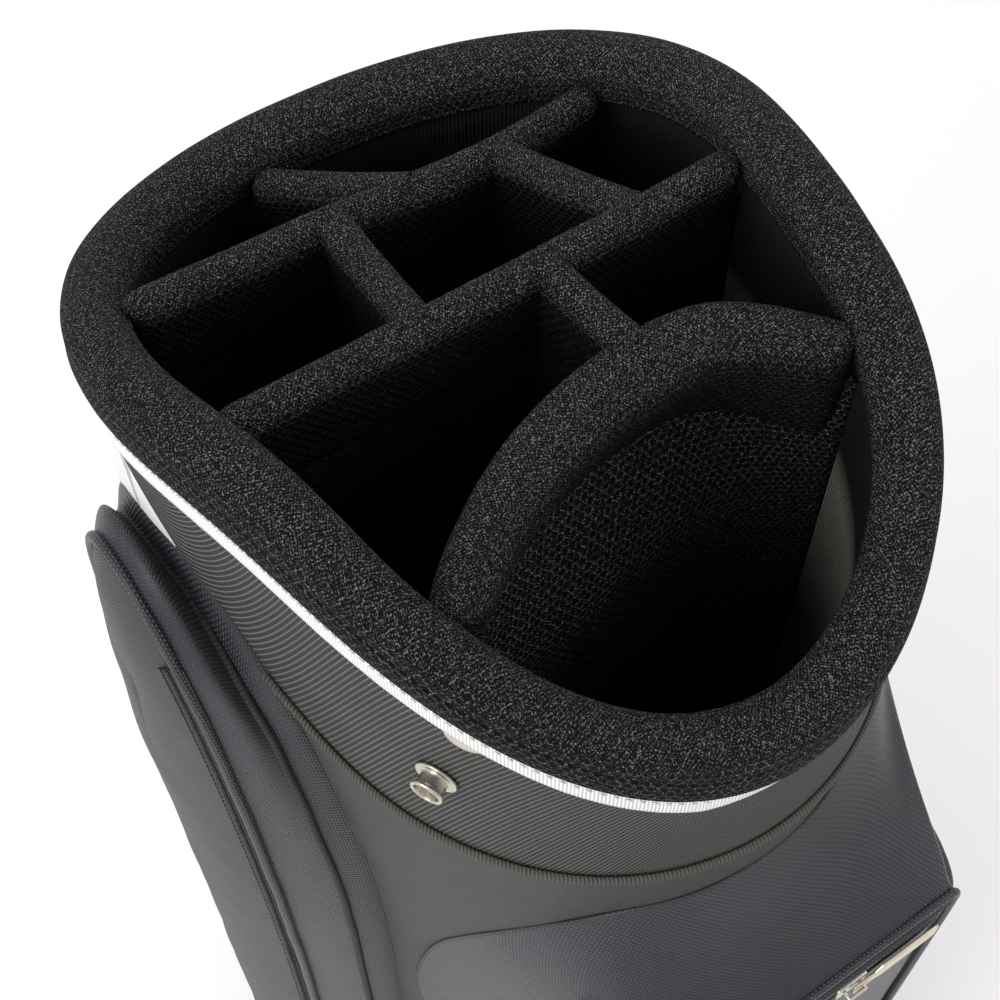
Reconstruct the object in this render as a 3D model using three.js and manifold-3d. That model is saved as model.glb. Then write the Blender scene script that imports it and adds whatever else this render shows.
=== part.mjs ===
// Golf cart bag with a padded eight-way top, in millimetres, +Z up.
// The origin is the centre of the flat underside; the ball pocket faces -Y and the spine faces +Y.
import * as THREE from 'three';
import { mergeVertices } from 'three/addons/utils/BufferGeometryUtils.js';
import Module from 'manifold-3d';

const wasm = await Module();
wasm.setup();

// ---- driving dimensions ----
const cuff = { radius: 120, rollRadius: 10, skirtDrop: 14.6, height: 860 };
const wall = { clothOut: 8.4, clothIn: 6.4, floor: 10.4, top: 740 };
const collar = { halfAngle: 107.3, seam: 742, rise: 88, flat: 45, power: 2.3 };
const foamWall = { inner: -4.2, outer: 3.2 };
const lining = { inner: -6, outer: -4.6, drop: 11.4 };
const stay = { inner: 3.6, outer: 5.8, halfAngle: 6 };
const cuffShell = { inner: -2.7, outer: 6, drop: 6 };
const tray = { bottom: 3, floor: 10, top: 64, out: 11, wallIn: 8.8 };
const gap = 0.35;
const deg = Math.PI / 180;

// ---- finishes ----
const finish = (color, roughness, metalness = 0) =>
  new THREE.MeshStandardMaterial({ color, roughness, metalness });
const airMesh = finish('#1c1c1b', 0.95);
const ribbedNylon = finish('#34342f', 0.8);
const oxfordCloth = finish('#3d3d3c', 0.75);
const pocketCloth = finish('#403f44', 0.7);
const whiteCloth = finish('#e9e9e8', 0.55);
const liningCloth = finish('#2b2b2a', 0.9);
const foam = finish('#8d8d88', 0.95);
const mouldedPlastic = finish('#191919', 0.6);
const rubber = finish('#1d1d1d', 0.9);
const nickel = finish('#c3bbab', 0.3, 1);
const champagne = finish('#c9c0a8', 0.35, 1);
const coil = finish('#1f1f1f', 0.6);
const webbing = finish('#232323', 0.85);

const bag = new THREE.Group();

function addPart(name, geometry, material) {
  const mesh = new THREE.Mesh(geometry, material);
  mesh.name = name;
  bag.add(mesh);
  return mesh;
}

// ---- the cuff's outline and the rim's rise and fall round it ----
function cuffRadius(angle) {
  const wave = 0.129 * Math.cos(2 * angle) + 0.056 * Math.cos(3 * angle) - 0.017 * Math.cos(4 * angle);
  return cuff.radius * (1 + wave);
}

function outline(angle, offset) {
  const radius = cuffRadius(angle) + offset;
  return new THREE.Vector2(radius * Math.sin(angle), -radius * Math.cos(angle));
}

function wallNormal(angle) {
  const step = outline(angle + 0.01, 0).sub(outline(angle - 0.01, 0)).normalize();
  return new THREE.Vector3(step.y, -step.x, 0);
}

function rimHeight(angle) {
  const { x, y } = outline(angle, 0);
  return cuff.height - 0.098 * x - 0.188 * y - 0.00278 * y * y + 7.7e-6 * y ** 3;
}

function seamHeight(angle) {
  const past = Math.max(0, Math.abs(angle / deg) - collar.flat);
  return collar.seam + collar.rise * (past / (collar.halfAngle - collar.flat)) ** collar.power;
}

// ---- mesh tools ----
function signedVolume(positions, index) {
  let volume = 0;
  const a = new THREE.Vector3();
  const b = new THREE.Vector3();
  const c = new THREE.Vector3();
  for (let i = 0; i < index.length; i += 3) {
    a.fromArray(positions, 3 * index[i]);
    b.fromArray(positions, 3 * index[i + 1]);
    c.fromArray(positions, 3 * index[i + 2]);
    volume += a.dot(b.cross(c)) / 6;
  }
  return volume;
}

function solidFrom(positions, index) {
  if (signedVolume(positions, index) < 0) {
    for (let i = 0; i < index.length; i += 3) {
      [index[i], index[i + 1]] = [index[i + 1], index[i]];
    }
  }
  const geometry = new THREE.BufferGeometry();
  geometry.setAttribute('position', new THREE.Float32BufferAttribute(positions, 3));
  geometry.setIndex(index);
  geometry.computeVertexNormals();
  return geometry;
}

// The flat end of a loft, wound the same way round as its section.
function capTriangles(section) {
  const normal = new THREE.Vector3();
  section.forEach((point, i) => {
    const next = section[(i + 1) % section.length];
    normal.add(new THREE.Vector3().crossVectors(point, next));
  });
  normal.normalize();
  const helper = Math.abs(normal.z) < 0.9 ? new THREE.Vector3(0, 0, 1) : new THREE.Vector3(1, 0, 0);
  const across = new THREE.Vector3().crossVectors(helper, normal).normalize();
  const along = new THREE.Vector3().crossVectors(normal, across);
  const flat = section.map((point) => new THREE.Vector2(point.dot(across), point.dot(along)));
  return THREE.ShapeUtils.triangulateShape(flat, []).map(([i, j, k]) => {
    const turn = (flat[j].x - flat[i].x) * (flat[k].y - flat[i].y)
      - (flat[j].y - flat[i].y) * (flat[k].x - flat[i].x);
    return turn > 0 ? [i, j, k] : [i, k, j];
  });
}

// Skin through matching closed sections; a loop has no ends, anything else is capped flat.
function loft(sections, loop = false) {
  const count = sections[0].length;
  const positions = sections.flat().flatMap((point) => point.toArray());
  const index = [];
  const spans = loop ? sections.length : sections.length - 1;
  for (let s = 0; s < spans; s += 1) {
    const here = s * count;
    const there = ((s + 1) % sections.length) * count;
    for (let i = 0; i < count; i += 1) {
      const j = (i + 1) % count;
      index.push(here + i, here + j, there + j, here + i, there + j, there + i);
    }
  }
  if (!loop) {
    const last = (sections.length - 1) * count;
    capTriangles(sections[0]).forEach(([i, j, k]) => index.push(i, k, j));
    capTriangles(sections[sections.length - 1]).forEach(([i, j, k]) => {
      index.push(last + i, last + j, last + k);
    });
  }
  return solidFrom(positions, index);
}

function toManifold(geometry) {
  const bare = geometry.clone();
  bare.deleteAttribute('normal');
  bare.deleteAttribute('uv');
  const merged = mergeVertices(bare, 1e-4);
  return new wasm.Manifold(new wasm.Mesh({
    numProp: 3,
    vertProperties: new Float32Array(merged.attributes.position.array),
    triVerts: new Uint32Array(merged.index.array),
  }));
}

function fromManifold(solid) {
  const mesh = solid.getMesh();
  return solidFrom(Array.from(mesh.vertProperties), Array.from(mesh.triVerts));
}

function box(low, high) {
  const geometry = new THREE.BoxGeometry(high[0] - low[0], high[1] - low[1], high[2] - low[2]);
  geometry.translate((low[0] + high[0]) / 2, (low[1] + high[1]) / 2, (low[2] + high[2]) / 2);
  return geometry;
}

const angles = (from, to, count) =>
  Array.from({ length: count + 1 }, (_, i) => (from + ((to - from) * i) / count) * deg);

// A band round the outline: profile(angle) gives [offset, height] pairs.
function band(profile, from = 0, to = 360, count = 72) {
  const full = to - from === 360;
  const stations = angles(from, to, count).slice(0, full ? count : count + 1);
  const sections = stations.map((angle) => profile(angle).map(([offset, height]) => {
    const { x, y } = outline(angle, offset);
    return new THREE.Vector3(x, y, height);
  }));
  return loft(sections, full);
}

function prism(offset, low, high) {
  const level = (height) => angles(0, 360, 72).slice(0, 72).map((angle) => {
    const { x, y } = outline(angle, offset);
    return new THREE.Vector3(x, y, height);
  });
  return toManifold(loft([level(low), level(high)]));
}

// ---- padded rim, moulded cuff and collar ----
function rimPadProfile(angle) {
  const centre = rimHeight(angle);
  const roll = angles(0, 180, 8).map((a) => [cuff.rollRadius * Math.cos(a), cuff.rollRadius * Math.sin(a)]);
  const profile = [
    [8.9, -cuff.skirtDrop], [10.8, -cuff.skirtDrop], [10.8, -6], ...roll,
    [-10, -4], [-9.2, -11], [-3.1, -11], [-3.1, -5.6], [8.9, -5.6],
  ];
  return profile.map(([offset, lift]) => [offset, centre + lift]);
}
addPart('rim_pad', band(rimPadProfile), airMesh);

addPart('cuff_frame', band((angle) => {
  const top = rimHeight(angle) - cuffShell.drop;
  const { inner, outer } = cuffShell;
  return [[inner, wall.top], [outer, wall.top], [outer, top], [inner, top]];
}), mouldedPlastic);

addPart('collar_band', band((angle) => {
  const top = rimHeight(angle) - cuffShell.drop;
  const seam = seamHeight(angle);
  return [[wall.clothIn, seam], [wall.clothOut, seam], [wall.clothOut, top], [wall.clothIn, top]];
}, -collar.halfAngle, collar.halfAngle, 48), ribbedNylon);

const tape = { from: -107, to: -2, height: 10, taper: 12 };
addPart('trim_tape', band((angle) => {
  const top = rimHeight(angle) - cuff.skirtDrop - gap;
  const left = Math.min(1, (tape.to - angle / deg) / tape.taper);
  const bottom = top - 0.8 - (tape.height - 0.8) * left;
  return [[8.75, bottom], [9.6, bottom], [9.6, top], [8.75, top]];
}, tape.from, tape.to, 30), whiteCloth);

const piping = { offset: 10.2, half: 1.4, tall: 2.6, drop: 2.4 };
addPart('collar_piping', band((angle) => {
  const centre = seamHeight(angle) - piping.drop;
  return angles(0, 360, 8).slice(0, 8).map((a) => [
    piping.offset + piping.half * Math.cos(a), centre + piping.tall * Math.sin(a),
  ]);
}, -101, 101, 44), ribbedNylon);
const pipingRoom = toManifold(band((angle) => {
  const centre = seamHeight(angle) - piping.drop;
  const reachOut = piping.offset + piping.half + gap;
  return [[8, centre - 3], [reachOut, centre - 3], [reachOut, centre + 60], [8, centre + 60]];
}, -104, 104, 46));

// Male half of a snap fastener: a flange on the cloth and a hollow ring post.
const stud = { flange: 7.2, post: 5, lip: 5.4, bore: 3, height: 6.2 };
function snapStud() {
  const profile = [
    [0, 0], [stud.flange, 0], [stud.flange, 0.9], [stud.post - 0.6, 1.3], [stud.post - 0.6, 4.2],
    [stud.lip, 5], [stud.lip, stud.height - 0.4], [stud.lip - 0.5, stud.height],
    [stud.bore, stud.height], [stud.bore, 2.4], [0, 2.4],
  ].map(([radius, height]) => new THREE.Vector2(radius, height));
  return new THREE.LatheGeometry(profile, 24);
}
for (const [name, side] of [['press_stud_left', -1], ['press_stud_right', 1]]) {
  const angle = side * 44.5 * deg;
  const place = outline(angle, wall.clothOut + gap);
  const mesh = addPart(name, snapStud(), nickel);
  mesh.position.set(place.x, place.y, 791);
  mesh.quaternion.setFromUnitVectors(new THREE.Vector3(0, 1, 0), wallNormal(angle));
}

// ---- tube: outer cloth, battens, foam and lining ----
const clothSection = (top) => [
  [wall.clothIn, wall.floor], [wall.clothOut, wall.floor], [wall.clothOut, top], [wall.clothIn, top],
];
function clothPanel(from, to, count) {
  return band((angle) => {
    const turned = Math.abs(angle / deg);
    const aside = Math.min(turned, 360 - turned);
    const underCollar = aside < collar.halfAngle + 0.1;
    const top = underCollar ? seamHeight(aside * deg) - gap : rimHeight(angle) - cuffShell.drop;
    return clothSection(top);
  }, from, to, count);
}
const spineHalf = 18;
addPart('front_body_panel', clothPanel(-98, 98, 44), oxfordCloth);
// Joins the stretch under the collar's tip to the taller stretch beside it.
function panelBridge(from, to) {
  const top = seamHeight((collar.halfAngle - 1) * deg) - 2 * gap;
  return band(() => clothSection(top), from, to, 2);
}
function rearPanel(side) {
  const under = clothPanel(side * 98.3, side * (collar.halfAngle - 0.1), 2);
  const beside = clothPanel(side * (collar.halfAngle + 0.2), side * (180 - spineHalf - 0.2), 14);
  const bridge = panelBridge(side * (collar.halfAngle - 1), side * (collar.halfAngle + 1));
  return fromManifold(toManifold(under).add(toManifold(bridge)).add(toManifold(beside)));
}
addPart('rear_left_panel', rearPanel(-1), whiteCloth);
addPart('rear_right_panel', rearPanel(1), whiteCloth);
addPart('spine_panel', clothPanel(180 - spineHalf, 180 + spineHalf, 8), oxfordCloth);

// A plain wall of one thickness and height all round, or over a range of angles.
const straightWall = ({ inner, outer }, from, to, count) => band(() => [
  [inner, wall.floor], [outer, wall.floor], [outer, wall.top - gap], [inner, wall.top - gap],
], from, to, count);
addPart('tube_foam', straightWall(foamWall), foam);

addPart('inner_lining', band((angle) => {
  const top = rimHeight(angle) - lining.drop;
  const { inner, outer } = lining;
  return [[inner, wall.floor], [outer, wall.floor], [outer, top], [inner, top]];
}), liningCloth);

for (const [name, centre] of [['left_stay', -90], ['right_stay', 90]]) {
  addPart(name, straightWall(stay, centre - stay.halfAngle, centre + stay.halfAngle, 4), mouldedPlastic);
}

// ---- base ----
const trayOuter = prism(tray.out, tray.bottom, tray.top);
const trayHollow = prism(tray.wallIn, tray.floor, tray.top + 5);
addPart('base_tray', fromManifold(trayOuter.subtract(trayHollow)), mouldedPlastic);
addPart('base_pad', fromManifold(prism(5, 0, tray.bottom - gap)), rubber);

// ---- dividers: padded bars across the top, each with a cloth panel down to the base ----
const bar = { half: 6.5, tall: 15, panelHalf: 1.2, panelDrop: 2.5, wallClear: -10.5, panelWallClear: -6.4 };

function sideways(path, i) {
  const before = path[Math.max(0, i - 1)];
  const after = path[Math.min(path.length - 1, i + 1)];
  const along = after.clone().sub(before).normalize();
  return new THREE.Vector2(-along.y, along.x);
}

// How far a strip of this half width can run from a point before it meets the outline.
function reach(start, direction, half, offset) {
  const along = direction.clone().normalize();
  const side = new THREE.Vector2(-along.y, along.x);
  let distance = 0;
  const inside = (hand) => {
    const corner = start.clone().addScaledVector(along, distance).addScaledVector(side, hand * half);
    return corner.length() < cuffRadius(Math.atan2(corner.x, -corner.y)) + offset;
  };
  while (inside(-1) && inside(1)) {
    distance += 0.2;
  }
  return start.clone().addScaledVector(along, distance - 0.2);
}

// A run's path: an end at the wall is carried on to it, an end at another bar stops short of it.
function planPath({ run, wallStart, wallEnd }, half, offset) {
  const path = run.map(([x, y]) => new THREE.Vector2(x, y));
  const last = path.length - 1;
  const shorten = (tip, inner) => {
    const along = tip.clone().sub(inner).normalize();
    const clearance = (half * (1 + Math.abs(along.x)) + gap) / Math.abs(along.y);
    return tip.clone().addScaledVector(along, -clearance);
  };
  path[0] = wallStart ? reach(path[1], path[0].clone().sub(path[1]), half, offset)
    : shorten(path[0], path[1]);
  path[last] = wallEnd ? reach(path[last - 1], path[last].clone().sub(path[last - 1]), half, offset)
    : shorten(path[last], path[last - 1]);
  return path;
}

// The bar's top slopes evenly from one end of its run to the other.
function slope({ run, top }) {
  const start = new THREE.Vector2(...run[0]);
  const along = new THREE.Vector2(...run[run.length - 1]).sub(start);
  return (point) => top[0] + ((top[1] - top[0]) * point.clone().sub(start).dot(along)) / along.lengthSq();
}

function barSolid(divider) {
  const path = planPath(divider, bar.half, bar.wallClear);
  const topAt = slope(divider);
  const section = angles(0, 360, 12).slice(0, 12).map((a) => [
    bar.half * Math.cos(a), (bar.tall / 2) * Math.sin(a) - bar.tall / 2,
  ]);
  return loft(path.map((point, i) => {
    const side = sideways(path, i);
    return section.map(([across, lift]) => new THREE.Vector3(
      point.x + side.x * across, point.y + side.y * across, topAt(point) + lift,
    ));
  }));
}

function panelSolid(divider) {
  const path = planPath(divider, bar.panelHalf, bar.panelWallClear);
  const topAt = slope(divider);
  const sections = path.map((point, i) => {
    const side = sideways(path, i).multiplyScalar(bar.panelHalf);
    const top = topAt(point) - bar.tall - bar.panelDrop;
    return [[-1, wall.floor], [1, wall.floor], [1, top], [-1, top]].map(([hand, height]) => (
      new THREE.Vector3(point.x + hand * side.x, point.y + hand * side.y, height)
    ));
  });
  return toManifold(loft(sections)).subtract(rimRoom);
}

// The space taken by the padded rim, with clearance round it.
const rimRoom = toManifold(band((angle) => {
  const centre = rimHeight(angle);
  return [[-10.4, centre - 11.4], [12, centre - 11.4], [12, centre + 12], [-10.4, centre + 12]];
}));

const archCurve = new THREE.SplineCurve(
  [[-75, -78], [-55, -60], [-24, -43], [16, -33.5], [52, -38], [80, -68]]
    .map(([x, y]) => new THREE.Vector2(x, y)),
);
const dividers = [
  {
    name: 'rear', run: [[-92, 62], [-30, 66], [33, 67], [88, 74]], top: [857, 820],
    wallStart: true, wallEnd: true,
  },
  { name: 'middle', run: [[-92, 6], [0, 7], [95, 8]], top: [867, 848], wallStart: true, wallEnd: true },
  {
    name: 'arch', run: archCurve.getPoints(16).map((point) => point.toArray()), top: [862, 850],
    wallStart: true, wallEnd: true,
  },
  { name: 'left_cross', run: [[-21, 66.4], [-26, 6.7]], top: [844, 860] },
  { name: 'right_cross', run: [[43, 68.3], [56, 7.6]], top: [829, 852] },
  { name: 'front_cross', run: [[18, 7.2], [23, -33.3]], top: [856, 855.5] },
  { name: 'back_cross', run: [[8, 66.6], [-16, 106]], top: [837, 816], wallEnd: true },
];
for (const divider of dividers) {
  addPart(`${divider.name}_divider_bar`, barSolid(divider), airMesh);
  addPart(`${divider.name}_divider_panel`, fromManifold(panelSolid(divider)), liningCloth);
}

// ---- pockets ----
// Every pocket is a soft tub, open towards the bag, lofted upwards from level sections.
const core = prism(wall.clothOut + gap, 0, 900);
const cloth = 2.4;

function pocketSolid(levels, section, inset) {
  const heights = levels.map((level, i) => {
    if (i === 0) {
      return level.height + inset;
    }
    return i === levels.length - 1 ? level.height - inset : level.height;
  });
  return toManifold(loft(levels.map((level, i) => section(level, inset)
    .map(([x, y]) => new THREE.Vector3(x, y, heights[i])))));
}

function shell(levels, section, thickness) {
  const hollow = pocketSolid(levels, section, thickness);
  return pocketSolid(levels, section, 0).subtract(hollow).subtract(core);
}

const zipThick = 2.2;
const zipBand = (levels, section) => (
  pocketSolid(levels, section, -zipThick).subtract(pocketSolid(levels, section, -gap))
);

// Half an ellipse out from the wall, for the two long side pockets; the rounded top leans backwards.
const sidePocket = {
  centreY: 6, lean: 20, half: 66, wallX: 96, depth: 50, bottom: 150, shoulder: 540, top: 795, split: 133,
};
function sideLevels() {
  const corner = (t) => Math.sqrt(1 - (1 - t) ** 2);
  const low = [0, 0.12, 0.4, 1].map((t) => ({
    height: sidePocket.bottom + 45 * t, half: 0.6 + 0.4 * corner(t), depth: 0.62 + 0.38 * corner(t), lean: 0,
  }));
  const high = [0, 0.25, 0.45, 0.62, 0.77, 0.88, 0.95, 0.985, 1].map((t) => ({
    height: sidePocket.shoulder + (sidePocket.top - sidePocket.shoulder) * t,
    half: Math.max(0.3, (1 - t ** 2.6) ** (1 / 2.6)),
    depth: t < 0.7 ? 1 : 0.72 + 0.28 * Math.sqrt(Math.max(0, 1 - ((t - 0.7) / 0.3) ** 2)),
    lean: sidePocket.lean * t * t,
  }));
  return [...low, ...high];
}
const sideSection = (side) => (level, inset) => {
  const half = sidePocket.half * level.half - inset;
  const depth = sidePocket.depth * level.depth - inset;
  return angles(-90, 90, 16).map((a) => [
    side * (sidePocket.wallX + depth * Math.cos(a)), sidePocket.centreY + level.lean + half * Math.sin(a),
  ]);
};
for (const [name, side] of [['left', -1], ['right', 1]]) {
  const levels = sideLevels();
  const section = sideSection(side);
  const tub = shell(levels, section, cloth);
  const { split } = sidePocket;
  const slab = (from, to) => toManifold(box(
    [Math.min(side * from, side * to), -150, 0],
    [Math.max(side * from, side * to), 150, 900],
  ));
  const front = toManifold(box([-220, -150, 190], [220, sidePocket.centreY - 20, 900]));
  const gusset = tub.intersect(slab(60, split - 0.3)).subtract(pipingRoom);
  addPart(`${name}_pocket_gusset`, fromManifold(gusset), pocketCloth);
  addPart(`${name}_pocket_face`, fromManifold(tub.intersect(slab(split + 0.3, 220))), pocketCloth);
  const strip = zipBand(levels, section).intersect(slab(split - 5, split + 5)).intersect(front);
  addPart(`${name}_pocket_zip`, fromManifold(strip), coil);
}

// Rounded-front section shared by the two pockets on the front of the bag; the sides splay to the wall.
const frontSection = (radius) => (level, inset) => {
  const half = level.half - inset;
  const root = level.root - inset;
  const face = level.face + inset;
  const turn = Math.max(1, radius - inset);
  const right = angles(0, 90, 6).map((a) => [
    half - turn + turn * Math.cos(a), face + turn - turn * Math.sin(a),
  ]);
  const left = right.map(([x, y]) => [-x, y]).reverse();
  return [[root, -92], ...right, ...left, [-root, -92]];
};

const upperPocket = { bottom: 470, top: 702, face: -187, zipLow: 640, zipHigh: 652 };
const upperLevels = [
  { height: upperPocket.bottom, half: 56, root: 74, face: -172 },
  { height: upperPocket.bottom + 8, half: 62, root: 82, face: -182 },
  { height: upperPocket.bottom + 25, half: 64, root: 86, face: upperPocket.face },
  { height: 560, half: 64, root: 86, face: upperPocket.face },
  { height: 638, half: 64, root: 81, face: upperPocket.face },
  { height: 661, half: 64, root: 77, face: upperPocket.face },
  { height: 665, half: 63, root: 76, face: -184 },
  { height: 684, half: 59, root: 68, face: -166 },
  { height: upperPocket.top, half: 52, root: 56, face: -152 },
];
const upperSection = frontSection(16);
const upperTub = shell(upperLevels, upperSection, cloth);
const layer = (low, high, reachY = 0) => toManifold(box([-200, -300, low], [200, reachY, high]));
addPart('upper_pocket_top', fromManifold(upperTub.intersect(layer(upperPocket.zipHigh, 800))), pocketCloth);
addPart('upper_pocket_face', fromManifold(upperTub.intersect(layer(0, upperPocket.zipLow))), pocketCloth);
const upperBand = pocketSolid(upperLevels, upperSection, 0)
  .subtract(pocketSolid(upperLevels, upperSection, cloth));
addPart('upper_pocket_zip', fromManifold(
  upperBand.intersect(layer(upperPocket.zipLow + gap, upperPocket.zipHigh - gap, -140)),
), coil);

const ballPocket = { bottom: 96, top: 436, half: 84, face: -208, split: -182 };
const ballLevels = [0, 0.2, 0.55, 1].map((t) => {
  const round = Math.sqrt(1 - (1 - t) ** 2);
  const half = 66 + 18 * round;
  return { height: ballPocket.bottom + 34 * t, half, root: half, face: -178 - 30 * round };
});
for (const t of [0, 0.35, 0.65, 0.86, 1]) {
  const round = Math.sqrt(1 - t * t);
  const half = 60 + 24 * round;
  ballLevels.push({ height: 376 + 60 * t, half, root: half, face: -170 - 38 * round });
}
const ballSection = frontSection(30);
const ballTub = shell(ballLevels, ballSection, cloth);
const depthSlab = (from, to) => toManifold(box([-200, from, 0], [200, to, 900]));
const ballGusset = ballTub.intersect(depthSlab(ballPocket.split + 0.3, 0));
const ballFace = ballTub.intersect(depthSlab(-300, ballPocket.split - 0.3));
addPart('ball_pocket_gusset', fromManifold(ballGusset), pocketCloth);
addPart('ball_pocket_face', fromManifold(ballFace), pocketCloth);
const ballStrip = zipBand(ballLevels, ballSection)
  .intersect(depthSlab(ballPocket.split - 5, ballPocket.split + 5))
  .intersect(layer(150, 900));
addPart('ball_pocket_zip', fromManifold(ballStrip), coil);

// ---- zip sliders and their pullers ----
// Local axes: x across the tape, y along the zip, z out of the tape.
const slider = { width: 9, length: 13, thick: 3.2, legY: 3.6, pinHeight: 1.3 };
function sliderGeometry() {
  const body = toManifold(box([-slider.width / 2, -slider.length / 2, 0],
    [slider.width / 2, slider.length / 2, slider.thick]));
  const leg = (y) => toManifold(box([-0.9, y - 0.6, slider.thick - 1], [0.9, y + 0.6, slider.thick + 3.6]));
  const top = toManifold(box([-0.9, -slider.legY - 0.6, slider.thick + 2.6],
    [0.9, slider.legY + 0.6, slider.thick + 3.8]));
  return fromManifold(body.add(leg(-slider.legY)).add(leg(slider.legY)).add(top));
}

// The puller's root bar lies on the hinge axis, under the slider's bridge.
function pullerGeometry(length, width) {
  const neck = 3.4;
  const shape = new THREE.Shape();
  shape.moveTo(-neck, -0.6);
  shape.lineTo(neck, -0.6);
  shape.lineTo(neck, 9);
  shape.lineTo(width / 2, 12);
  shape.lineTo(width / 2, length - 3);
  shape.quadraticCurveTo(width / 2, length, width / 2 - 3, length);
  shape.lineTo(-width / 2 + 3, length);
  shape.quadraticCurveTo(-width / 2, length, -width / 2, length - 3);
  shape.lineTo(-width / 2, 12);
  shape.lineTo(-neck, 9);
  shape.closePath();
  const eye = new THREE.Path();
  eye.moveTo(-1.7, 0.6);
  eye.lineTo(-1.7, 6.4);
  eye.lineTo(1.7, 6.4);
  eye.lineTo(1.7, 0.6);
  eye.closePath();
  shape.holes.push(eye);
  const geometry = new THREE.ExtrudeGeometry(shape, { depth: 1.2, bevelEnabled: false, curveSegments: 4 });
  geometry.translate(0, 0, slider.thick + slider.pinHeight - 0.6);
  return geometry;
}

function placeZipHardware(name, place, along, outwards, length, width) {
  const across = new THREE.Vector3().crossVectors(along, outwards);
  const frame = new THREE.Matrix4().makeBasis(across, along, outwards).setPosition(place);
  for (const [part, geometry, material] of [
    ['slider', sliderGeometry(), nickel],
    ['puller', pullerGeometry(length, width), champagne],
  ]) {
    const mesh = addPart(`${name}_${part}`, geometry, material);
    mesh.applyMatrix4(frame);
  }
}
const tapeLift = zipThick + gap;
const down = new THREE.Vector3(0, 0, -1);
for (const [name, side] of [['left_pocket', -1], ['right_pocket', 1]]) {
  const out = (sidePocket.split - sidePocket.wallX) / sidePocket.depth;
  const back = Math.sqrt(1 - out * out);
  const outwards = new THREE.Vector3(
    (side * out) / sidePocket.depth, -back / sidePocket.half, 0,
  ).normalize();
  const place = new THREE.Vector3(
    side * sidePocket.split, sidePocket.centreY - sidePocket.half * back, 330,
  ).addScaledVector(outwards, tapeLift);
  placeZipHardware(name, place, down, outwards, 34, 11);
}
placeZipHardware('ball_pocket', new THREE.Vector3(-ballPocket.half - tapeLift, ballPocket.split + 4, 300),
  down, new THREE.Vector3(-1, 0, 0), 34, 11);
placeZipHardware('upper_pocket',
  new THREE.Vector3(14, upperPocket.face - gap, (upperPocket.zipLow + upperPocket.zipHigh) / 2),
  new THREE.Vector3(1, 0, 0), new THREE.Vector3(0, -1, 0), 38, 12);

// ---- carrying gear on the spine ----
const spineY = 126.8 + wall.clothOut;
function ribbon(points, halfWidth, thickness, steps) {
  const curve = new THREE.CatmullRomCurve3(points.map(([y, z]) => new THREE.Vector3(0, y, z)));
  const stations = curve.getSpacedPoints(steps);
  return loft(stations.map((point, i) => {
    const before = stations[Math.max(0, i - 1)];
    const after = stations[Math.min(steps, i + 1)];
    const along = after.clone().sub(before).normalize();
    const normal = new THREE.Vector3(0, -along.z, along.y);
    return [[-1, -1], [1, -1], [1, 1], [-1, 1]].map(([hand, face]) => new THREE.Vector3(
      hand * halfWidth,
      point.y + (face * normal.y * thickness) / 2,
      point.z + (face * normal.z * thickness) / 2,
    ));
  }));
}

const handle = { middle: 499, half: 103, foot: spineY + 4.4, width: 26, thick: 7 };
const handleRun = [
  [handle.foot, handle.half], [handle.foot, handle.half - 22], [spineY + 17, handle.half - 38],
  [spineY + 26, 35], [spineY + 27, 0], [spineY + 26, -35],
  [spineY + 17, 38 - handle.half], [handle.foot, 22 - handle.half], [handle.foot, -handle.half],
].map(([y, lift]) => [y, handle.middle + lift]);
addPart('carry_handle', ribbon(handleRun, handle.width / 2, handle.thick, 28), webbing);

const anchor = { upper: 690, lower: 350, ringY: spineY + 10, wire: 2 };
function rectangularLoop(width, height, wire) {
  const outer = new THREE.Shape();
  outer.moveTo(-width / 2, -height / 2);
  outer.lineTo(width / 2, -height / 2);
  outer.lineTo(width / 2, height / 2);
  outer.lineTo(-width / 2, height / 2);
  outer.closePath();
  const hole = new THREE.Path();
  hole.moveTo(-width / 2 + wire, -height / 2 + wire);
  hole.lineTo(-width / 2 + wire, height / 2 - wire);
  hole.lineTo(width / 2 - wire, height / 2 - wire);
  hole.lineTo(width / 2 - wire, -height / 2 + wire);
  hole.closePath();
  outer.holes.push(hole);
  const geometry = new THREE.ExtrudeGeometry(outer, { depth: wire, bevelEnabled: false });
  geometry.translate(0, 0, -wire / 2);
  return geometry;
}

function strapTab(height) {
  // A folded strip of webbing sewn to the spine, with an eye that holds the ring's straight bar.
  const low = toManifold(box([-12, spineY + gap, height + 4], [12, spineY + 3, height + 40]));
  const fold = toManifold(box([-12, spineY + 1, height + 6], [12, anchor.ringY + 5.4, height + 18]));
  const eye = toManifold(box([-14, anchor.ringY - 2.6, height + 9], [14, anchor.ringY + 2.6, height + 15]));
  return fromManifold(low.add(fold).subtract(eye));
}

for (const [name, height] of [['upper', anchor.upper], ['lower', anchor.lower]]) {
  addPart(`${name}_strap_tab`, strapTab(height), webbing);
  const ring = rectangularLoop(34, 30, 4);
  ring.rotateX(Math.PI / 2);
  ring.translate(0, anchor.ringY, height - 1);
  addPart(`${name}_ring`, ring, nickel);
  const hook = rectangularLoop(17, 30, 3.4);
  hook.rotateX(Math.PI / 2);
  hook.rotateZ(Math.PI / 2);
  hook.translate(0, anchor.ringY, height - 23.3);
  addPart(`${name}_strap_hook`, hook, nickel);
}

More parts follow.
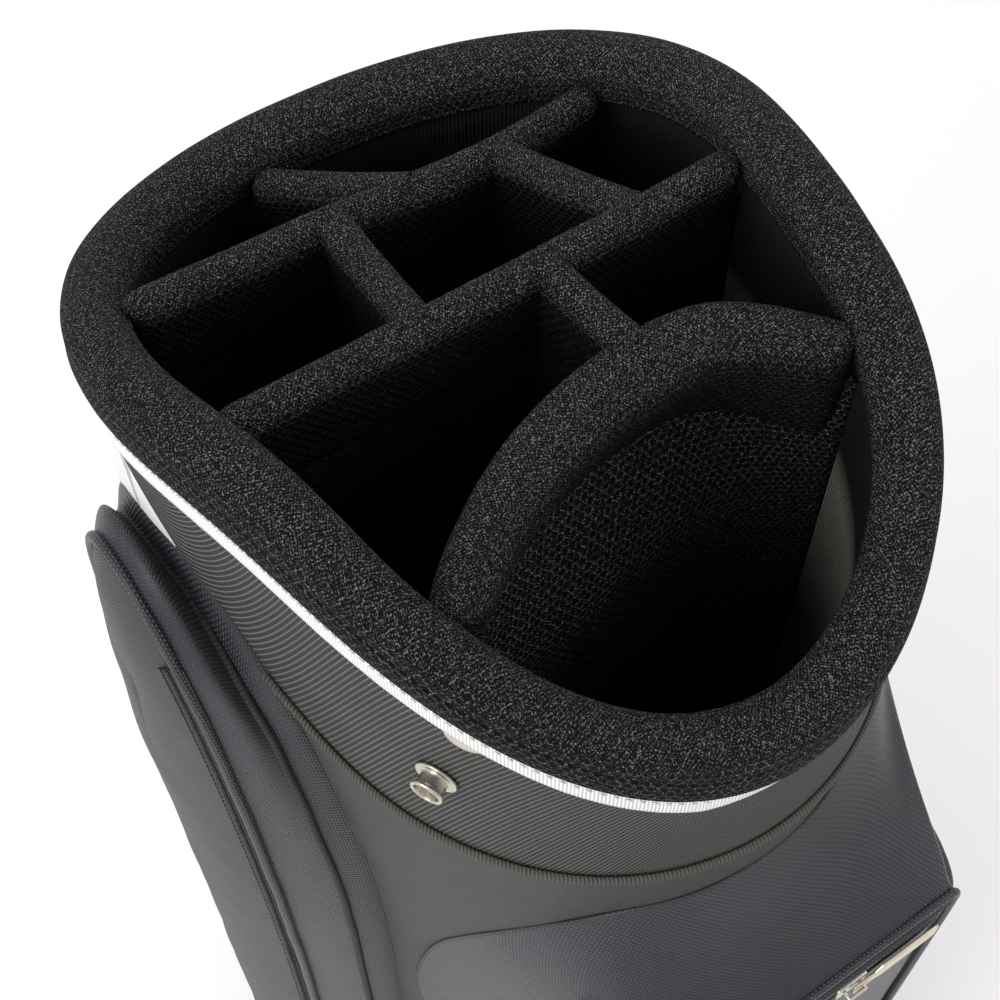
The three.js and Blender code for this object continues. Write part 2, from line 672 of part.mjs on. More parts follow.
const strapTop = anchor.upper - 41;
const strapEnd = anchor.lower - 41;
const strapPath = [
  [anchor.ringY, strapTop], [anchor.ringY + 4, strapTop - 22], [spineY + 36, 570], [spineY + 55, 480],
  [spineY + 68, 390], [spineY + 70, 330], [spineY + 58, 284], [spineY + 34, 270],
  [anchor.ringY + 4, 288], [anchor.ringY, strapEnd],
];
addPart('shoulder_strap', ribbon(strapPath, 12.5, 3, 40), webbing);
addPart('strap_pad', ribbon([
  [spineY + 44.5, 575], [spineY + 55, 530], [spineY + 64.5, 480], [spineY + 74, 430], [spineY + 78.5, 385],
], 28, 11, 10), airMesh);

export default bag;
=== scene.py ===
# Golf bag with an eight-way padded top: its looks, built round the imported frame, in metres.
import math
import bmesh
import bpy
from mathutils import Matrix, Vector, noise


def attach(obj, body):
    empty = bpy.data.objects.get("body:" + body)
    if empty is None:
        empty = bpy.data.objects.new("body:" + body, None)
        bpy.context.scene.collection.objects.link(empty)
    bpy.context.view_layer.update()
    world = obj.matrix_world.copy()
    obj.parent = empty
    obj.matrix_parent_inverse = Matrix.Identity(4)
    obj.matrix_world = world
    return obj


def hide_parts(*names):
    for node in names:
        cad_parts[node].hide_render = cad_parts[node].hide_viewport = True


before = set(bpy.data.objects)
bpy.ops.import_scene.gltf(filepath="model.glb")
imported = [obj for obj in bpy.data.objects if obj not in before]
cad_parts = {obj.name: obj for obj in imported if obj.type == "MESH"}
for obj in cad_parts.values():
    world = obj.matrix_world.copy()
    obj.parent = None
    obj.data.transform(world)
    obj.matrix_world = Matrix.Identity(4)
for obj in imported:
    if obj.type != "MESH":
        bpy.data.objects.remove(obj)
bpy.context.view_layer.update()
scene = bpy.context.scene
print("frame loaded")

cameraPlan = {
    "place": (-0.1926, -0.2716, 1.3333),
    "target": (-0.0423, -0.0567, 0.860),
    "lens": 70.8,
    "roll": -0.25,
}


def makeCamera(plan):
    data = bpy.data.cameras.new("camera")
    data.lens = plan["lens"]
    data.clip_start = 0.01
    camera = bpy.data.objects.new("camera", data)
    scene.collection.objects.link(camera)
    place = Vector(plan["place"])
    aim = (Vector(plan["target"]) - place).to_track_quat("-Z", "Y").to_matrix().to_4x4()
    roll = Matrix.Rotation(math.radians(plan["roll"]), 4, "Z")
    camera.matrix_world = Matrix.Translation(place) @ aim @ roll
    scene.camera = camera


makeCamera(cameraPlan)


# Shader maths: a socket that can be added, multiplied and so on.
class Signal:
    def __init__(self, tree, socket):
        self.tree = tree
        self.socket = socket

    def maths(self, operation, *others):
        node = self.tree.nodes.new("ShaderNodeMath")
        node.operation = operation
        for target, value in zip(node.inputs, (self, *others)):
            connect(self.tree, target, value)
        return Signal(self.tree, node.outputs[0])

    def __add__(self, other):
        return self.maths("ADD", other)

    def __mul__(self, other):
        return self.maths("MULTIPLY", other)

    def __sub__(self, other):
        return self.maths("SUBTRACT", other)

    def __rsub__(self, other):
        return (self * -1) + other

    def __truediv__(self, other):
        return self.maths("DIVIDE", other)

    def __pow__(self, other):
        return self.maths("POWER", other)

    __radd__ = __add__
    __rmul__ = __mul__


def connect(tree, target, value):
    if isinstance(value, Signal):
        tree.links.new(value.socket, target)
    else:
        target.default_value = value


def tone(red, green, blue):
    # 0 to 255 as the eye sees it, to the linear values that a shader takes
    linear = [((c / 255 + 0.055) / 1.055) ** 2.4 if c > 10 else c / 255 / 12.92 for c in (red, green, blue)]
    return (*linear, 1.0)


class Finish:
    def __init__(self, name, fixed):
        self.material = bpy.data.materials.new(name)
        self.material.use_nodes = True
        self.tree = self.material.node_tree
        self.shader = self.tree.nodes["Principled BSDF"]
        self.set(fixed)

    def set(self, values):
        for name, value in values.items():
            connect(self.tree, self.shader.inputs[name], value)

    def node(self, kind, settings=None, inputs=None, output=0):
        made = self.tree.nodes.new(kind)
        for key, value in (settings or {}).items():
            if key == "stops":
                ramp = made.color_ramp
                while len(ramp.elements) < len(value):
                    ramp.elements.new(0.5)
                for element, (position, colour) in zip(ramp.elements, value):
                    element.position = position
                    element.color = colour
            else:
                setattr(made, key, value)
        for key, value in (inputs or {}).items():
            connect(self.tree, made.inputs[key], value)
        return Signal(self.tree, made.outputs[output])

    def chart(self):
        place = self.node("ShaderNodeUVMap", {"uv_map": "UVMap"})
        return [self.node("ShaderNodeSeparateXYZ", None, {0: place}, k) for k in (0, 1)]

    def spot(self):
        return self.node("ShaderNodeTexCoord", output=3)

    def grain(self, scale, detail=2.0, where=None, roughness=0.5):
        inputs = {"Scale": scale, "Detail": detail, "Roughness": roughness}
        inputs["Vector"] = where or self.spot()
        return self.node("ShaderNodeTexNoise", None, inputs)

    def ease(self, value, low, high):
        ends = {"Value": value, "From Min": low, "From Max": high}
        return self.node("ShaderNodeMapRange", {"interpolation_type": "SMOOTHSTEP"}, ends)

    def bump(self, height, distance, strength=1.0):
        inputs = {"Height": height, "Distance": distance, "Strength": strength}
        self.set({"Normal": self.node("ShaderNodeBump", None, inputs)})


def mixColour(finish, factor, dark, light):
    # the Mix node has a socket of each name for every data type; colours are the later ones
    made = finish.tree.nodes.new("ShaderNodeMix")
    made.data_type = "RGBA"
    connect(finish.tree, made.inputs[0], factor)
    connect(finish.tree, made.inputs[6], dark)
    connect(finish.tree, made.inputs[7], light)
    return Signal(finish.tree, made.outputs[2])


fullTurn = 6.283


# Cell coordinates of a staggered lattice, each from -0.5 to 0.5.
def staggered(u, v, pitch, row):
    level = (v / row).maths("FLOOR")
    shift = (level * 0.5).maths("FRACT")
    across = (u / pitch + shift).maths("FRACT") - 0.5
    along = (v / row).maths("FRACT") - 0.5
    return across, along


meshPlan = {
    "pitch": 0.0034, "row": 0.0028, "thread": 0.00125, "dark": (13, 13, 13), "light": (132, 132, 130),
    "paintedShade": 0.0,
}
# the bars' mesh carries painted shade: it is darkened down its sides, where the wells fall into shadow
barMeshPlan = {**meshPlan, "paintedShade": 0.74}
# shaded and lit copies of the same black mesh: the wells' cloth is painted darker as shade, the arch's cloth
# lighter as light falls on it
shadedWellPlan = {**meshPlan, "dark": (12, 12, 12), "light": (66, 66, 65)}
litArchPlan = {**meshPlan, "dark": (22, 22, 22), "light": (150, 150, 148)}


def makeAirMesh(name, plan):
    finish = Finish(name, {"Specular IOR Level": 0.08})
    u, v = finish.chart()
    drift = finish.grain(180, 1) - 0.5
    across, along = staggered(u + drift * 0.0009, v + drift * 0.0007, plan["pitch"], plan["row"])
    away = (across * across + along * along * 0.75).maths("SQRT")
    # how open the mesh is, with painted shade folded in on the rim's inside and the bars' sides
    openness = finish.node("ShaderNodeAttribute", {"attribute_name": "openness"}, output=2)
    hole = (1 - finish.ease(away, 0.23, 0.42)) * openness
    # loops of yarn: short ridges that lean to and fro from one wale to the next
    wale = (u / plan["thread"] + drift * 1.4).maths("SINE")
    loops = (u * (fullTurn / plan["thread"]) + drift * 5).maths("SINE")
    course = (v * (fullTurn / (plan["thread"] * 1.25)) + wale * 1.2 + drift * 4).maths("SINE")
    yarn = (loops * course) * 0.5 + 0.5
    fibre = finish.grain(1650, 3, roughness=0.7)
    fleck = finish.ease(fibre, 0.49, 0.66)
    lit = yarn * 0.5 + fleck * 0.7
    patch = finish.grain(40, 2)
    # painted shade: the colour darkens where the mesh is most open, down the bars' sides
    depth = 1 - finish.ease(openness, 0.42, 0.95) * plan["paintedShade"]
    factor = finish.ease(lit, 0.32, 1.12) * (patch * 0.5 + 0.75) * depth
    yarnColour = mixColour(finish, factor, tone(*plan["dark"]), tone(*plan["light"]))
    finish.set({"Base Color": mixColour(finish, hole, yarnColour, tone(2, 2, 2))})
    finish.set({"Roughness": 0.85 - lit * 0.25})
    finish.bump((yarn * 0.35 + fibre * 0.5) * (1 - hole) + (1 - hole) * 0.7, 0.0012)
    return finish.material


nylonPlan = {"rib": 0.0014, "cross": 0.0013, "lean": 36, "dark": (8, 8, 8), "light": (130, 130, 126)}


def makeRibbedNylon(plan):
    finish = Finish("ribbedNylon", {"Specular IOR Level": 0.16})
    flatU, flatV = finish.chart()
    lean = math.radians(plan["lean"])
    u = flatU * math.cos(lean) - flatV * math.sin(lean)
    v = flatU * math.sin(lean) + flatV * math.cos(lean)
    ridge = (u * (fullTurn / plan["rib"])).maths("COSINE") * 0.5 + 0.5
    pick = (v * (fullTurn / plan["cross"])).maths("COSINE") * 0.5 + 0.5
    height = (ridge ** 3.0) * 0.8 + (1 - ridge) * pick * 0.34
    fibre = finish.grain(1800, 2)
    patch = finish.grain(25, 2)
    factor = height * (fibre * 0.5 + 0.6) * (patch * 0.4 + 0.75)
    finish.set({"Base Color": mixColour(finish, factor, tone(*plan["dark"]), tone(*plan["light"]))})
    finish.set({"Roughness": 0.72 - height * 0.22})
    finish.bump(height + fibre * 0.15, 0.0006)
    return finish.material


# A narrow woven tape with cross ribs.
def makeGrosgrain(name, rib, dark, light, roughness):
    finish = Finish(name, {"Specular IOR Level": 0.35})
    u, v = finish.chart()
    ridge = ((u * (3.1416 / rib)).maths("SINE")).maths("ABSOLUTE")
    weave = (v * (fullTurn / (rib * 0.45)) + (u / rib).maths("FLOOR") * 3.1416).maths("COSINE") * 0.5 + 0.5
    fibre = finish.grain(2200, 2)
    height = ridge * 0.8 + weave * 0.2
    factor = (height * 0.75 + fibre * 0.5).maths("MINIMUM", 1.0)
    finish.set({"Base Color": mixColour(finish, factor, tone(*dark), tone(*light))})
    finish.set({"Roughness": roughness + 0.1 - height * 0.15})
    finish.bump(height + fibre * 0.12, 0.0004)
    return finish.material


# Plain dotted nylon: raised dots in staggered rows, with soft variation over a hand's width.
def makeDottedNylon(name, pitch, dark, light, roughness, dot=0.7):
    finish = Finish(name, {"Sheen Weight": 0.03, "Sheen Roughness": 0.4, "Specular IOR Level": 0.5})
    u, v = finish.chart()
    across, along = staggered(u, v, pitch, pitch * 0.62)
    away = (across * across + along * along * 0.55).maths("SQRT")
    bead = 1 - finish.ease(away, 0.10, 0.38)
    fibre = finish.grain(1900, 2)
    patch = finish.grain(18, 3)
    factor = (bead * dot + 0.16) * (fibre * 0.4 + 0.7) * (patch * 0.5 + 0.75)
    finish.set({"Base Color": mixColour(finish, factor, tone(*dark), tone(*light))})
    finish.set({"Roughness": roughness + 0.12 - bead * 0.16 + patch * 0.08})
    finish.bump(bead + fibre * 0.2, 0.00042)
    return finish.material


def makeWhiteCloth():
    finish = Finish("whiteCloth", {"Specular IOR Level": 0.45, "Coat Weight": 0.05})
    u, v = finish.chart()
    across, along = staggered(u, v, 0.0014, 0.0009)
    bead = 1 - finish.ease((across * across + along * along).maths("SQRT"), 0.1, 0.5)
    patch = finish.grain(14, 3)
    factor = bead * 0.5 + patch * 0.6
    finish.set({"Base Color": mixColour(finish, factor, tone(206, 206, 204), tone(244, 244, 243))})
    finish.set({"Roughness": 0.52 - bead * 0.08 + patch * 0.1})
    finish.bump(bead, 0.00015)
    return finish.material


def makeLining():
    finish = Finish("lining", {"Specular IOR Level": 0.3})
    u, v = finish.chart()
    ridge = (u * (fullTurn / 0.0016)).maths("COSINE") * 0.5 + 0.5
    pick = (v * (fullTurn / 0.0013)).maths("COSINE") * 0.5 + 0.5
    fibre = finish.grain(1500, 2)
    factor = ridge * 0.6 + pick * 0.2 + fibre * 0.3
    side = finish.node("ShaderNodeAttribute", {"attribute_name": "openness"}, output=2)
    grey = mixColour(finish, factor, tone(88, 88, 82), tone(146, 146, 138))
    black = mixColour(finish, factor, tone(1, 1, 1), tone(9, 9, 9))
    # painted shade: black where the lining lies in shadow, its own light grey where light reaches it
    finish.set({"Base Color": mixColour(finish, side, black, grey)})
    finish.set({"Roughness": 0.85 - ridge * 0.1})
    finish.bump(ridge + pick * 0.3, 0.0004)
    return finish.material


def makeMetal(name, dull, bright, roughness):
    finish = Finish(name, {"Metallic": 1.0})
    scuff = finish.grain(900, 3)
    cloud = finish.grain(160, 2)
    finish.set({"Base Color": mixColour(finish, cloud * 0.7 + scuff * 0.3, tone(*dull), tone(*bright))})
    finish.set({"Roughness": roughness + scuff * 0.12 + cloud * 0.08})
    finish.bump(scuff, 0.00004)
    return finish.material


def makeMoulded(name, dark, light, roughness, texture=700):
    finish = Finish(name, {"Specular IOR Level": 0.45})
    cell = finish.node("ShaderNodeTexVoronoi", None, {"Vector": finish.spot(), "Scale": texture})
    cloud = finish.grain(30, 3)
    finish.set({"Base Color": mixColour(finish, cloud * 0.7 + cell * 0.3, tone(*dark), tone(*light))})
    finish.set({"Roughness": roughness + cell * 0.15 + cloud * 0.1})
    finish.bump(cell, 0.00022)
    return finish.material


def makeFoam():
    finish = Finish("foam", {"Specular IOR Level": 0.2})
    cell = finish.node("ShaderNodeTexVoronoi", None, {"Vector": finish.spot(), "Scale": 500.0})
    finish.set({"Base Color": mixColour(finish, cell, tone(92, 92, 90), tone(150, 150, 146))})
    finish.set({"Roughness": 0.97 - cell * 0.1})
    finish.bump(cell, 0.0004)
    return finish.material


# Twisted thread: slanting plies that read the object's own coordinates.
def makeThread(name, dark, light):
    finish = Finish(name, {"Specular IOR Level": 0.5})
    ply = finish.node("ShaderNodeTexWave", {"bands_direction": "DIAGONAL"}, {
        "Vector": finish.spot(), "Scale": 900.0, "Distortion": 1.0,
    }, 1)
    finish.set({"Base Color": mixColour(finish, ply, tone(*dark), tone(*light))})
    finish.set({"Roughness": 0.7 - ply * 0.2})
    finish.bump(ply, 0.0001)
    return finish.material


finishes = {
    "airMesh": makeAirMesh("airMesh", meshPlan),
    "barMesh": makeAirMesh("barMesh", barMeshPlan),
    "shadedWellMesh": makeAirMesh("shadedWellMesh", shadedWellPlan),
    "litArchMesh": makeAirMesh("litArchMesh", litArchPlan),
    "ribbedNylon": makeRibbedNylon(nylonPlan),
    "whiteTape": makeGrosgrain("whiteTape", 0.0011, (196, 196, 196), (250, 250, 250), 0.6),
    "blackTape": makeGrosgrain("blackTape", 0.0013, (12, 12, 11), (78, 77, 70), 0.62),
    "webbing": makeGrosgrain("webbing", 0.0019, (8, 8, 8), (50, 50, 49), 0.7),
    "bodyCloth": makeDottedNylon("bodyCloth", 0.0015, (14, 14, 14), (86, 86, 85), 0.5),
    "pocketCloth": makeDottedNylon("pocketCloth", 0.0018, (6, 6, 8), (80, 79, 90), 0.3),
    "sideCloth": makeDottedNylon("sideCloth", 0.0012, (28, 28, 29), (84, 84, 86), 0.42, 0.45),
    "whiteCloth": makeWhiteCloth(),
    "lining": makeLining(),
    "nickel": makeMetal("nickel", (150, 145, 134), (224, 217, 202), 0.16),
    "champagne": makeMetal("champagne", (176, 164, 140), (226, 216, 194), 0.24),
    "plastic": makeMoulded("plastic", (9, 9, 9), (26, 26, 26), 0.45),
    "rubber": makeMoulded("rubber", (14, 14, 14), (34, 34, 33), 0.75, 450),
    "zipCoil": makeMoulded("zipCoil", (9, 9, 10), (34, 34, 36), 0.3, 1200),
    "foam": makeFoam(),
    "blackThread": makeThread("blackThread", (10, 10, 10), (46, 46, 46)),
    "whiteThread": makeThread("whiteThread", (190, 190, 188), (240, 240, 238)),
}
print("finishes made")


# The cuff's outline, and the rim's rise and fall round it.
def cuffRadius(angle):
    wave = 0.129 * math.cos(2 * angle) + 0.056 * math.cos(3 * angle) - 0.017 * math.cos(4 * angle)
    return 0.120 * (1 + wave)


def outline(angle, offset, height=0.0):
    radius = cuffRadius(angle) + offset
    return Vector((radius * math.sin(angle), -radius * math.cos(angle), height))


def wallNormal(angle):
    step = (outline(angle + 0.01, 0) - outline(angle - 0.01, 0)).normalized()
    return Vector((-step.y, step.x, 0)) * -1


def rimHeight(angle):
    spot = outline(angle, 0)
    x, y = spot.x * 1000, spot.y * 1000
    return (860 - 0.098 * x - 0.188 * y - 0.00278 * y * y + 7.7e-6 * y ** 3) / 1000


collar = {"half": math.radians(107.3), "seam": 0.742, "rise": 0.088, "flat": math.radians(45), "power": 2.3}


def seamHeight(angle):
    past = max(0.0, abs(angle) - collar["flat"])
    return collar["seam"] + collar["rise"] * (past / (collar["half"] - collar["flat"])) ** collar["power"]


def easeStep(value, low, high):
    t = min(1.0, max(0.0, (value - low) / (high - low)))
    return t * t * (3 - 2 * t)


def ripple(point, scale, seed=0.0):
    return noise.noise(Vector(point) * scale + Vector((seed, seed * 1.7, -seed)))


# Lengths along a path function of t from 0 to 1, read back for any t.
def runLengths(path, steps=240):
    spots = [Vector(path(k / steps)) for k in range(steps + 1)]
    lengths = [0.0]
    for a, b in zip(spots, spots[1:]):
        lengths.append(lengths[-1] + (b - a).length)

    def read(t):
        place = min(max(t, 0.0), 1.0) * steps
        k = min(int(place), steps - 1)
        return lengths[k] + (lengths[k + 1] - lengths[k]) * (place - k)

    return read


# A grid whose corners run from (0, 0) to (1, 1), laid on the surface that place(u, w) gives.
def surface(columns, rows, place, chart=None, openness=None):
    bm = bmesh.new()
    bmesh.ops.create_grid(bm, x_segments=columns, y_segments=rows, size=0.5)
    paper = bm.loops.layers.uv.new("UVMap")
    level = bm.verts.layers.float.new("openness")
    spots = {vert: (vert.co.x + 0.5, vert.co.y + 0.5) for vert in bm.verts}
    if chart is None:
        along = runLengths(lambda t: place(t, 0.5))
        across = runLengths(lambda t: place(0.3, t))
        chart = lambda u, w: (along(u), across(w))
    for face in bm.faces:
        for loop in face.loops:
            loop[paper].uv = chart(*spots[loop.vert])
    for vert, (u, w) in spots.items():
        vert[level] = openness(u, w) if openness else 1.0
        vert.co = place(u, w)
    bmesh.ops.remove_doubles(bm, verts=bm.verts, dist=2e-6)
    return bm


def closeEnds(bm):
    rims = [edge for edge in bm.edges if edge.is_boundary]
    made = bmesh.ops.holes_fill(bm, edges=rims, sides=0)
    bmesh.ops.triangulate(bm, faces=made["faces"])
    bmesh.ops.recalc_face_normals(bm, faces=bm.faces)
    return bm


def thicken(bm, thickness):
    # the face as laid stays outermost, and the cloth's thickness goes towards the bag's middle
    bmesh.ops.recalc_face_normals(bm, faces=bm.faces)
    outward = sum(face.normal.xy.dot(face.calc_center_median().xy) * face.calc_area() for face in bm.faces)
    if outward < 0:
        bmesh.ops.reverse_faces(bm, faces=bm.faces)
    bmesh.ops.solidify(bm, geom=list(bm.faces), thickness=thickness)
    bmesh.ops.recalc_face_normals(bm, faces=bm.faces)
    return bm


def makePiece(name, bm, finish, body="bag", stands=()):
    mesh = bpy.data.meshes.new(name)
    bm.normal_update()
    bm.to_mesh(mesh)
    bm.free()
    mesh.polygons.foreach_set("use_smooth", [True] * len(mesh.polygons))
    piece = bpy.data.objects.new(name, mesh)
    scene.collection.objects.link(piece)
    mesh.materials.append(finishes[finish])
    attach(piece, body)
    if stands:
        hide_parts(*stands)
    return piece


# A wall or roll that follows the outline; profile(angle, w) gives its offset and height.
def aroundOutline(profile, start, end, columns, rows, openness=None):
    def place(u, w):
        angle = math.radians(start + (end - start) * u)
        offset, height = profile(angle, w)
        return outline(angle, offset, height)

    middle = math.radians((start + end) / 2)
    along = runLengths(lambda t: outline(math.radians(start + (end - start) * t), 0.009))
    across = runLengths(lambda t: Vector((*profile(middle, t), 0)))
    return surface(columns, rows, place, lambda u, w: (along(u), across(w)), openness)


# A tube or strip along a path: section(t, w) gives (sideways, upwards) from the path.
def sweep(path, section, columns, rows, up=Vector((0, 0, 1)), openness=None, upright=False):
    def place(t, w):
        ahead = path(min(1.0, t + 0.004)) - path(max(0.0, t - 0.004))
        ahead = (ahead * Vector((1, 1, 0)) if upright else ahead).normalized()
        lift = up(t) if callable(up) else up
        side = ahead.cross(lift).normalized()
        top = side.cross(ahead).normalized()
        across, high = section(t, w)
        return path(t) + side * across + top * high

    return surface(columns, rows, place, openness=openness)


def smoothPath(points):
    # a curve through given points, evenly quick along its length
    spots = [Vector(p) for p in points]
    count = len(spots) - 1

    def raw(t):
        place = min(max(t, 0.0), 1.0) * count
        k = min(int(place), count - 1)
        s = place - k
        a, b, c, d = (spots[min(max(k + j, 0), count)] for j in (-1, 0, 1, 2))
        bend = (2 * a - 5 * b + 4 * c - d) * s * s
        return 0.5 * (2 * b + (c - a) * s + bend + (3 * b - a - 3 * c + d) * s ** 3)

    lengths = runLengths(raw, 200)
    total = lengths(1.0)
    table = [(lengths(k / 200) / total, k / 200) for k in range(201)]

    def even(t):
        t = min(max(t, 0.0), 1.0)
        low, high = 0, 200
        while high - low > 1:
            mid = (low + high) // 2
            low, high = (mid, high) if table[mid][0] <= t else (low, mid)
        (a, ta), (b, tb) = table[low], table[high]
        return raw(ta + (tb - ta) * (t - a) / max(b - a, 1e-9))

    return even


# A row of sewn stitches along a path, lying on the surface that faces outwards(t).
def stitchRow(name, path, outwards, plan, finish="blackThread", body="bag"):
    length = runLengths(path)(1.0)
    count = max(2, int(length / (plan["stitch"] + plan["space"])))
    bm = bmesh.new()
    for k in range(count):
        t = (k + 0.5) / count
        ahead = (path(min(1.0, t + 0.002)) - path(max(0.0, t - 0.002))).normalized()
        out = outwards(t).normalized()
        side = ahead.cross(out).normalized()
        turn = Matrix((ahead, side, side.cross(ahead) * -1)).transposed().to_4x4()
        size = Matrix.Diagonal((plan["stitch"] / 2, plan["thick"], plan["thick"], 1))
        spot = Matrix.Translation(path(t) + out * plan["lift"])
        bmesh.ops.create_icosphere(bm, subdivisions=1, radius=1.0, matrix=spot @ turn @ size)
    bmesh.ops.recalc_face_normals(bm, faces=bm.faces)
    return makePiece(name, bm, finish, body)


sewing = {"stitch": 0.0026, "space": 0.0009, "thick": 0.0004, "lift": 0.00012}


# The padded rim: a soft roll over the cuff, with a skirt of mesh down its outside.
rimPlan = {"roll": 0.0100, "skirt": 0.0146, "skirtOut": 0.0108, "puff": 0.0007}


def rimProfile(angle, w):
    roll, skirt = rimPlan["roll"], rimPlan["skirt"]
    centre = rimHeight(angle)
    if w < 0.26:  # up the skirt, which bellies a little
        t = w / 0.26
        offset = rimPlan["skirtOut"] + 0.0005 * math.sin(math.pi * t)
        lift = -skirt + (skirt - 0.002) * t
    elif w < 0.74:  # over the roll
        t = (w - 0.26) / 0.48
        turn = math.radians(-12 + 204 * t)
        offset = (roll + 0.0006) * math.cos(turn)
        lift = roll * math.sin(turn)
    elif w < 0.88:  # down the inside
        t = (w - 0.74) / 0.14
        offset = -0.0103 + 0.0010 * t
        lift = -0.0021 - 0.0086 * t
    else:  # and back under
        t = (w - 0.88) / 0.12
        offset = -0.0093 + 0.0201 * t
        lift = -0.0107 - (skirt - 0.0107) * t + 0.004 * math.sin(math.pi * t)
    soft = easeStep(w, 0.02, 0.2) * (1 - easeStep(w, 0.8, 0.95))
    bulge = ripple((math.sin(angle) * 3, math.cos(angle) * 3, w * 5), 1.6) * rimPlan["puff"] * soft
    return offset * (1 + bulge * 40), centre + lift * (1 + bulge * 30)


def rimOpennessAndShade(u, w):
    # the mesh opens down the outer skirt and closes over the roll; the extra opening down the inside is painted
    # shade, darkening it
    return 1 - 0.72 * easeStep(w, 0.26, 0.46) + 0.25 * easeStep(w, 0.66, 0.8)


rim = makePiece(
    "rim_padding", aroundOutline(rimProfile, -180, 180, 360, 56, rimOpennessAndShade), "airMesh",
    stands=["rim_pad"],
)

# Collar: ribbed nylon, white tape under the mesh, piping along the seam.
clothPlan = {"out": 0.0084, "thick": 0.0020, "floor": 0.0104}


def collarProfile(angle, w):
    low, high = seamHeight(angle), rimHeight(angle) - 0.006
    # the nylon sinks a little between the tape and the seam
    hollow = 0.0006 * math.sin(math.pi * min(1.0, w * 1.1))
    return clothPlan["out"] + 0.0005 - hollow, low + 0.0004 + (high - low) * w


def collarChart():
    reach = math.degrees(collar["half"]) - 0.2
    bm = aroundOutline(collarProfile, -reach, reach, 260, 16)
    return thicken(bm, clothPlan["thick"] * 0.8)


makePiece("collar_nylon", collarChart(), "ribbedNylon", stands=["collar_band"])

tapePlan = {"from": -107.0, "to": -1.0, "height": 0.0104, "widen": 0.0030, "taper": 12.0, "out": 0.0103}


def tapeProfile(angle, w):
    degrees = math.degrees(angle)
    top = rimHeight(angle) - rimPlan["skirt"] + 0.0008
    left = min(1.0, (tapePlan["to"] - degrees) / tapePlan["taper"])
    wide = tapePlan["height"] + tapePlan["widen"] * easeStep(-degrees, 36, 70)
    height = 0.0016 + (wide - 0.0008) * max(0.0, left)
    wander = 0.00025 * ripple((degrees * 0.3, 0, 0), 1.0)
    return tapePlan["out"] - 0.0002 + 0.0003 * math.sin(math.pi * w), top - (height + wander) * (1 - w)


tape = thicken(aroundOutline(tapeProfile, tapePlan["from"], tapePlan["to"], 260, 6), 0.0011)
makePiece("white_tape", tape, "whiteTape", stands=["trim_tape"])

pipingPlan = {"offset": 0.0096, "half": 0.0015, "tall": 0.0025, "drop": 0.0024, "reach": 90.0}


def pipingProfile(angle, w):
    turn = 2 * math.pi * w
    fade = 1 - 0.85 * easeStep(abs(math.degrees(angle)), 66, 90)
    centre = seamHeight(angle) - pipingPlan["drop"]
    out = pipingPlan["offset"] + pipingPlan["half"] * math.cos(turn) * (0.9 + 0.1 * math.cos(turn))
    return out, centre + pipingPlan["tall"] * fade * math.sin(turn)


piping = aroundOutline(pipingProfile, -pipingPlan["reach"], pipingPlan["reach"], 300, 16)
makePiece("seam_piping", closeEnds(piping), "blackTape", stands=["collar_piping"])


def along(start, end, offset, height):
    # a path round the outline, from one angle to another in degrees
    def path(t):
        angle = math.radians(start + (end - start) * t)
        return outline(angle, offset, height(angle))
    return path


def facing(start, end):
    return lambda t: wallNormal(math.radians(start + (end - start) * t))


def tapeEdge(angle):
    return rimHeight(angle) - rimPlan["skirt"] - 0.0022


stitchRow("tape_stitches", along(-105, -12, 0.0105, tapeEdge), facing(-105, -12), sewing, "whiteThread")
stitchRow("seam_stitches", along(-99, 99, 0.0083, lambda a: seamHeight(a) + 0.0022), facing(-99, 99), sewing)

# Snap studs: a flange on the cloth and a hollow ring post with a lip.
studPlan = {"angle": 44.5, "height": 0.791, "flange": 0.0072, "post": 0.0046, "lip": 0.0056, "bore": 0.0043}


def lathe(profile, steps=48):
    bm = bmesh.new()
    verts = [bm.verts.new((radius, 0, height)) for radius, height in profile]
    edges = [bm.edges.new(pair) for pair in zip(verts, verts[1:])]
    bmesh.ops.spin(
        bm, geom=verts + edges, cent=(0, 0, 0), axis=(0, 0, 1), dvec=(0, 0, 0), angle=2 * math.pi,
        steps=steps, use_merge=True,
    )
    bmesh.ops.remove_doubles(bm, verts=bm.verts, dist=1e-6)
    bmesh.ops.recalc_face_normals(bm, faces=bm.faces)
    return bm


def roundedProfile(corners, radius, steps=3):
    # rounds each inner corner of an open profile with a short arc
    points = [Vector((*p, 0)) for p in corners]
    made = [tuple(points[0][:2])]
    for a, b, c in zip(points, points[1:], points[2:]):
        reach = min(radius, (a - b).length * 0.45, (c - b).length * 0.45)
        start = b + (a - b).normalized() * reach
        end = b + (c - b).normalized() * reach
        for k in range(steps + 1):
            t = k / steps
            spot = start * (1 - t) ** 2 + b * 2 * t * (1 - t) + end * t * t
            made.append(tuple(spot[:2]))
    made.append(tuple(points[-1][:2]))
    return made


def standOn(bm, place, outwards):
    turn = outwards.to_track_quat("Z", "Y").to_matrix().to_4x4()
    bmesh.ops.transform(bm, matrix=Matrix.Translation(place) @ turn, verts=bm.verts)
    return bm


def studProfile():
    plan = studPlan
    return roundedProfile([
        (0, 0), (plan["flange"], 0), (plan["flange"], 0.0010), (plan["flange"] - 0.0009, 0.0014),
        (plan["post"] + 0.0006, 0.0009), (plan["post"], 0.0012), (plan["post"], 0.0050), (plan["lip"], 0.0055),
        (plan["lip"], 0.0064), (plan["lip"] - 0.0006, 0.0068), (plan["bore"], 0.0065),
        (plan["bore"] - 0.0003, 0.0036), (0, 0.0034),
    ], 0.0003)


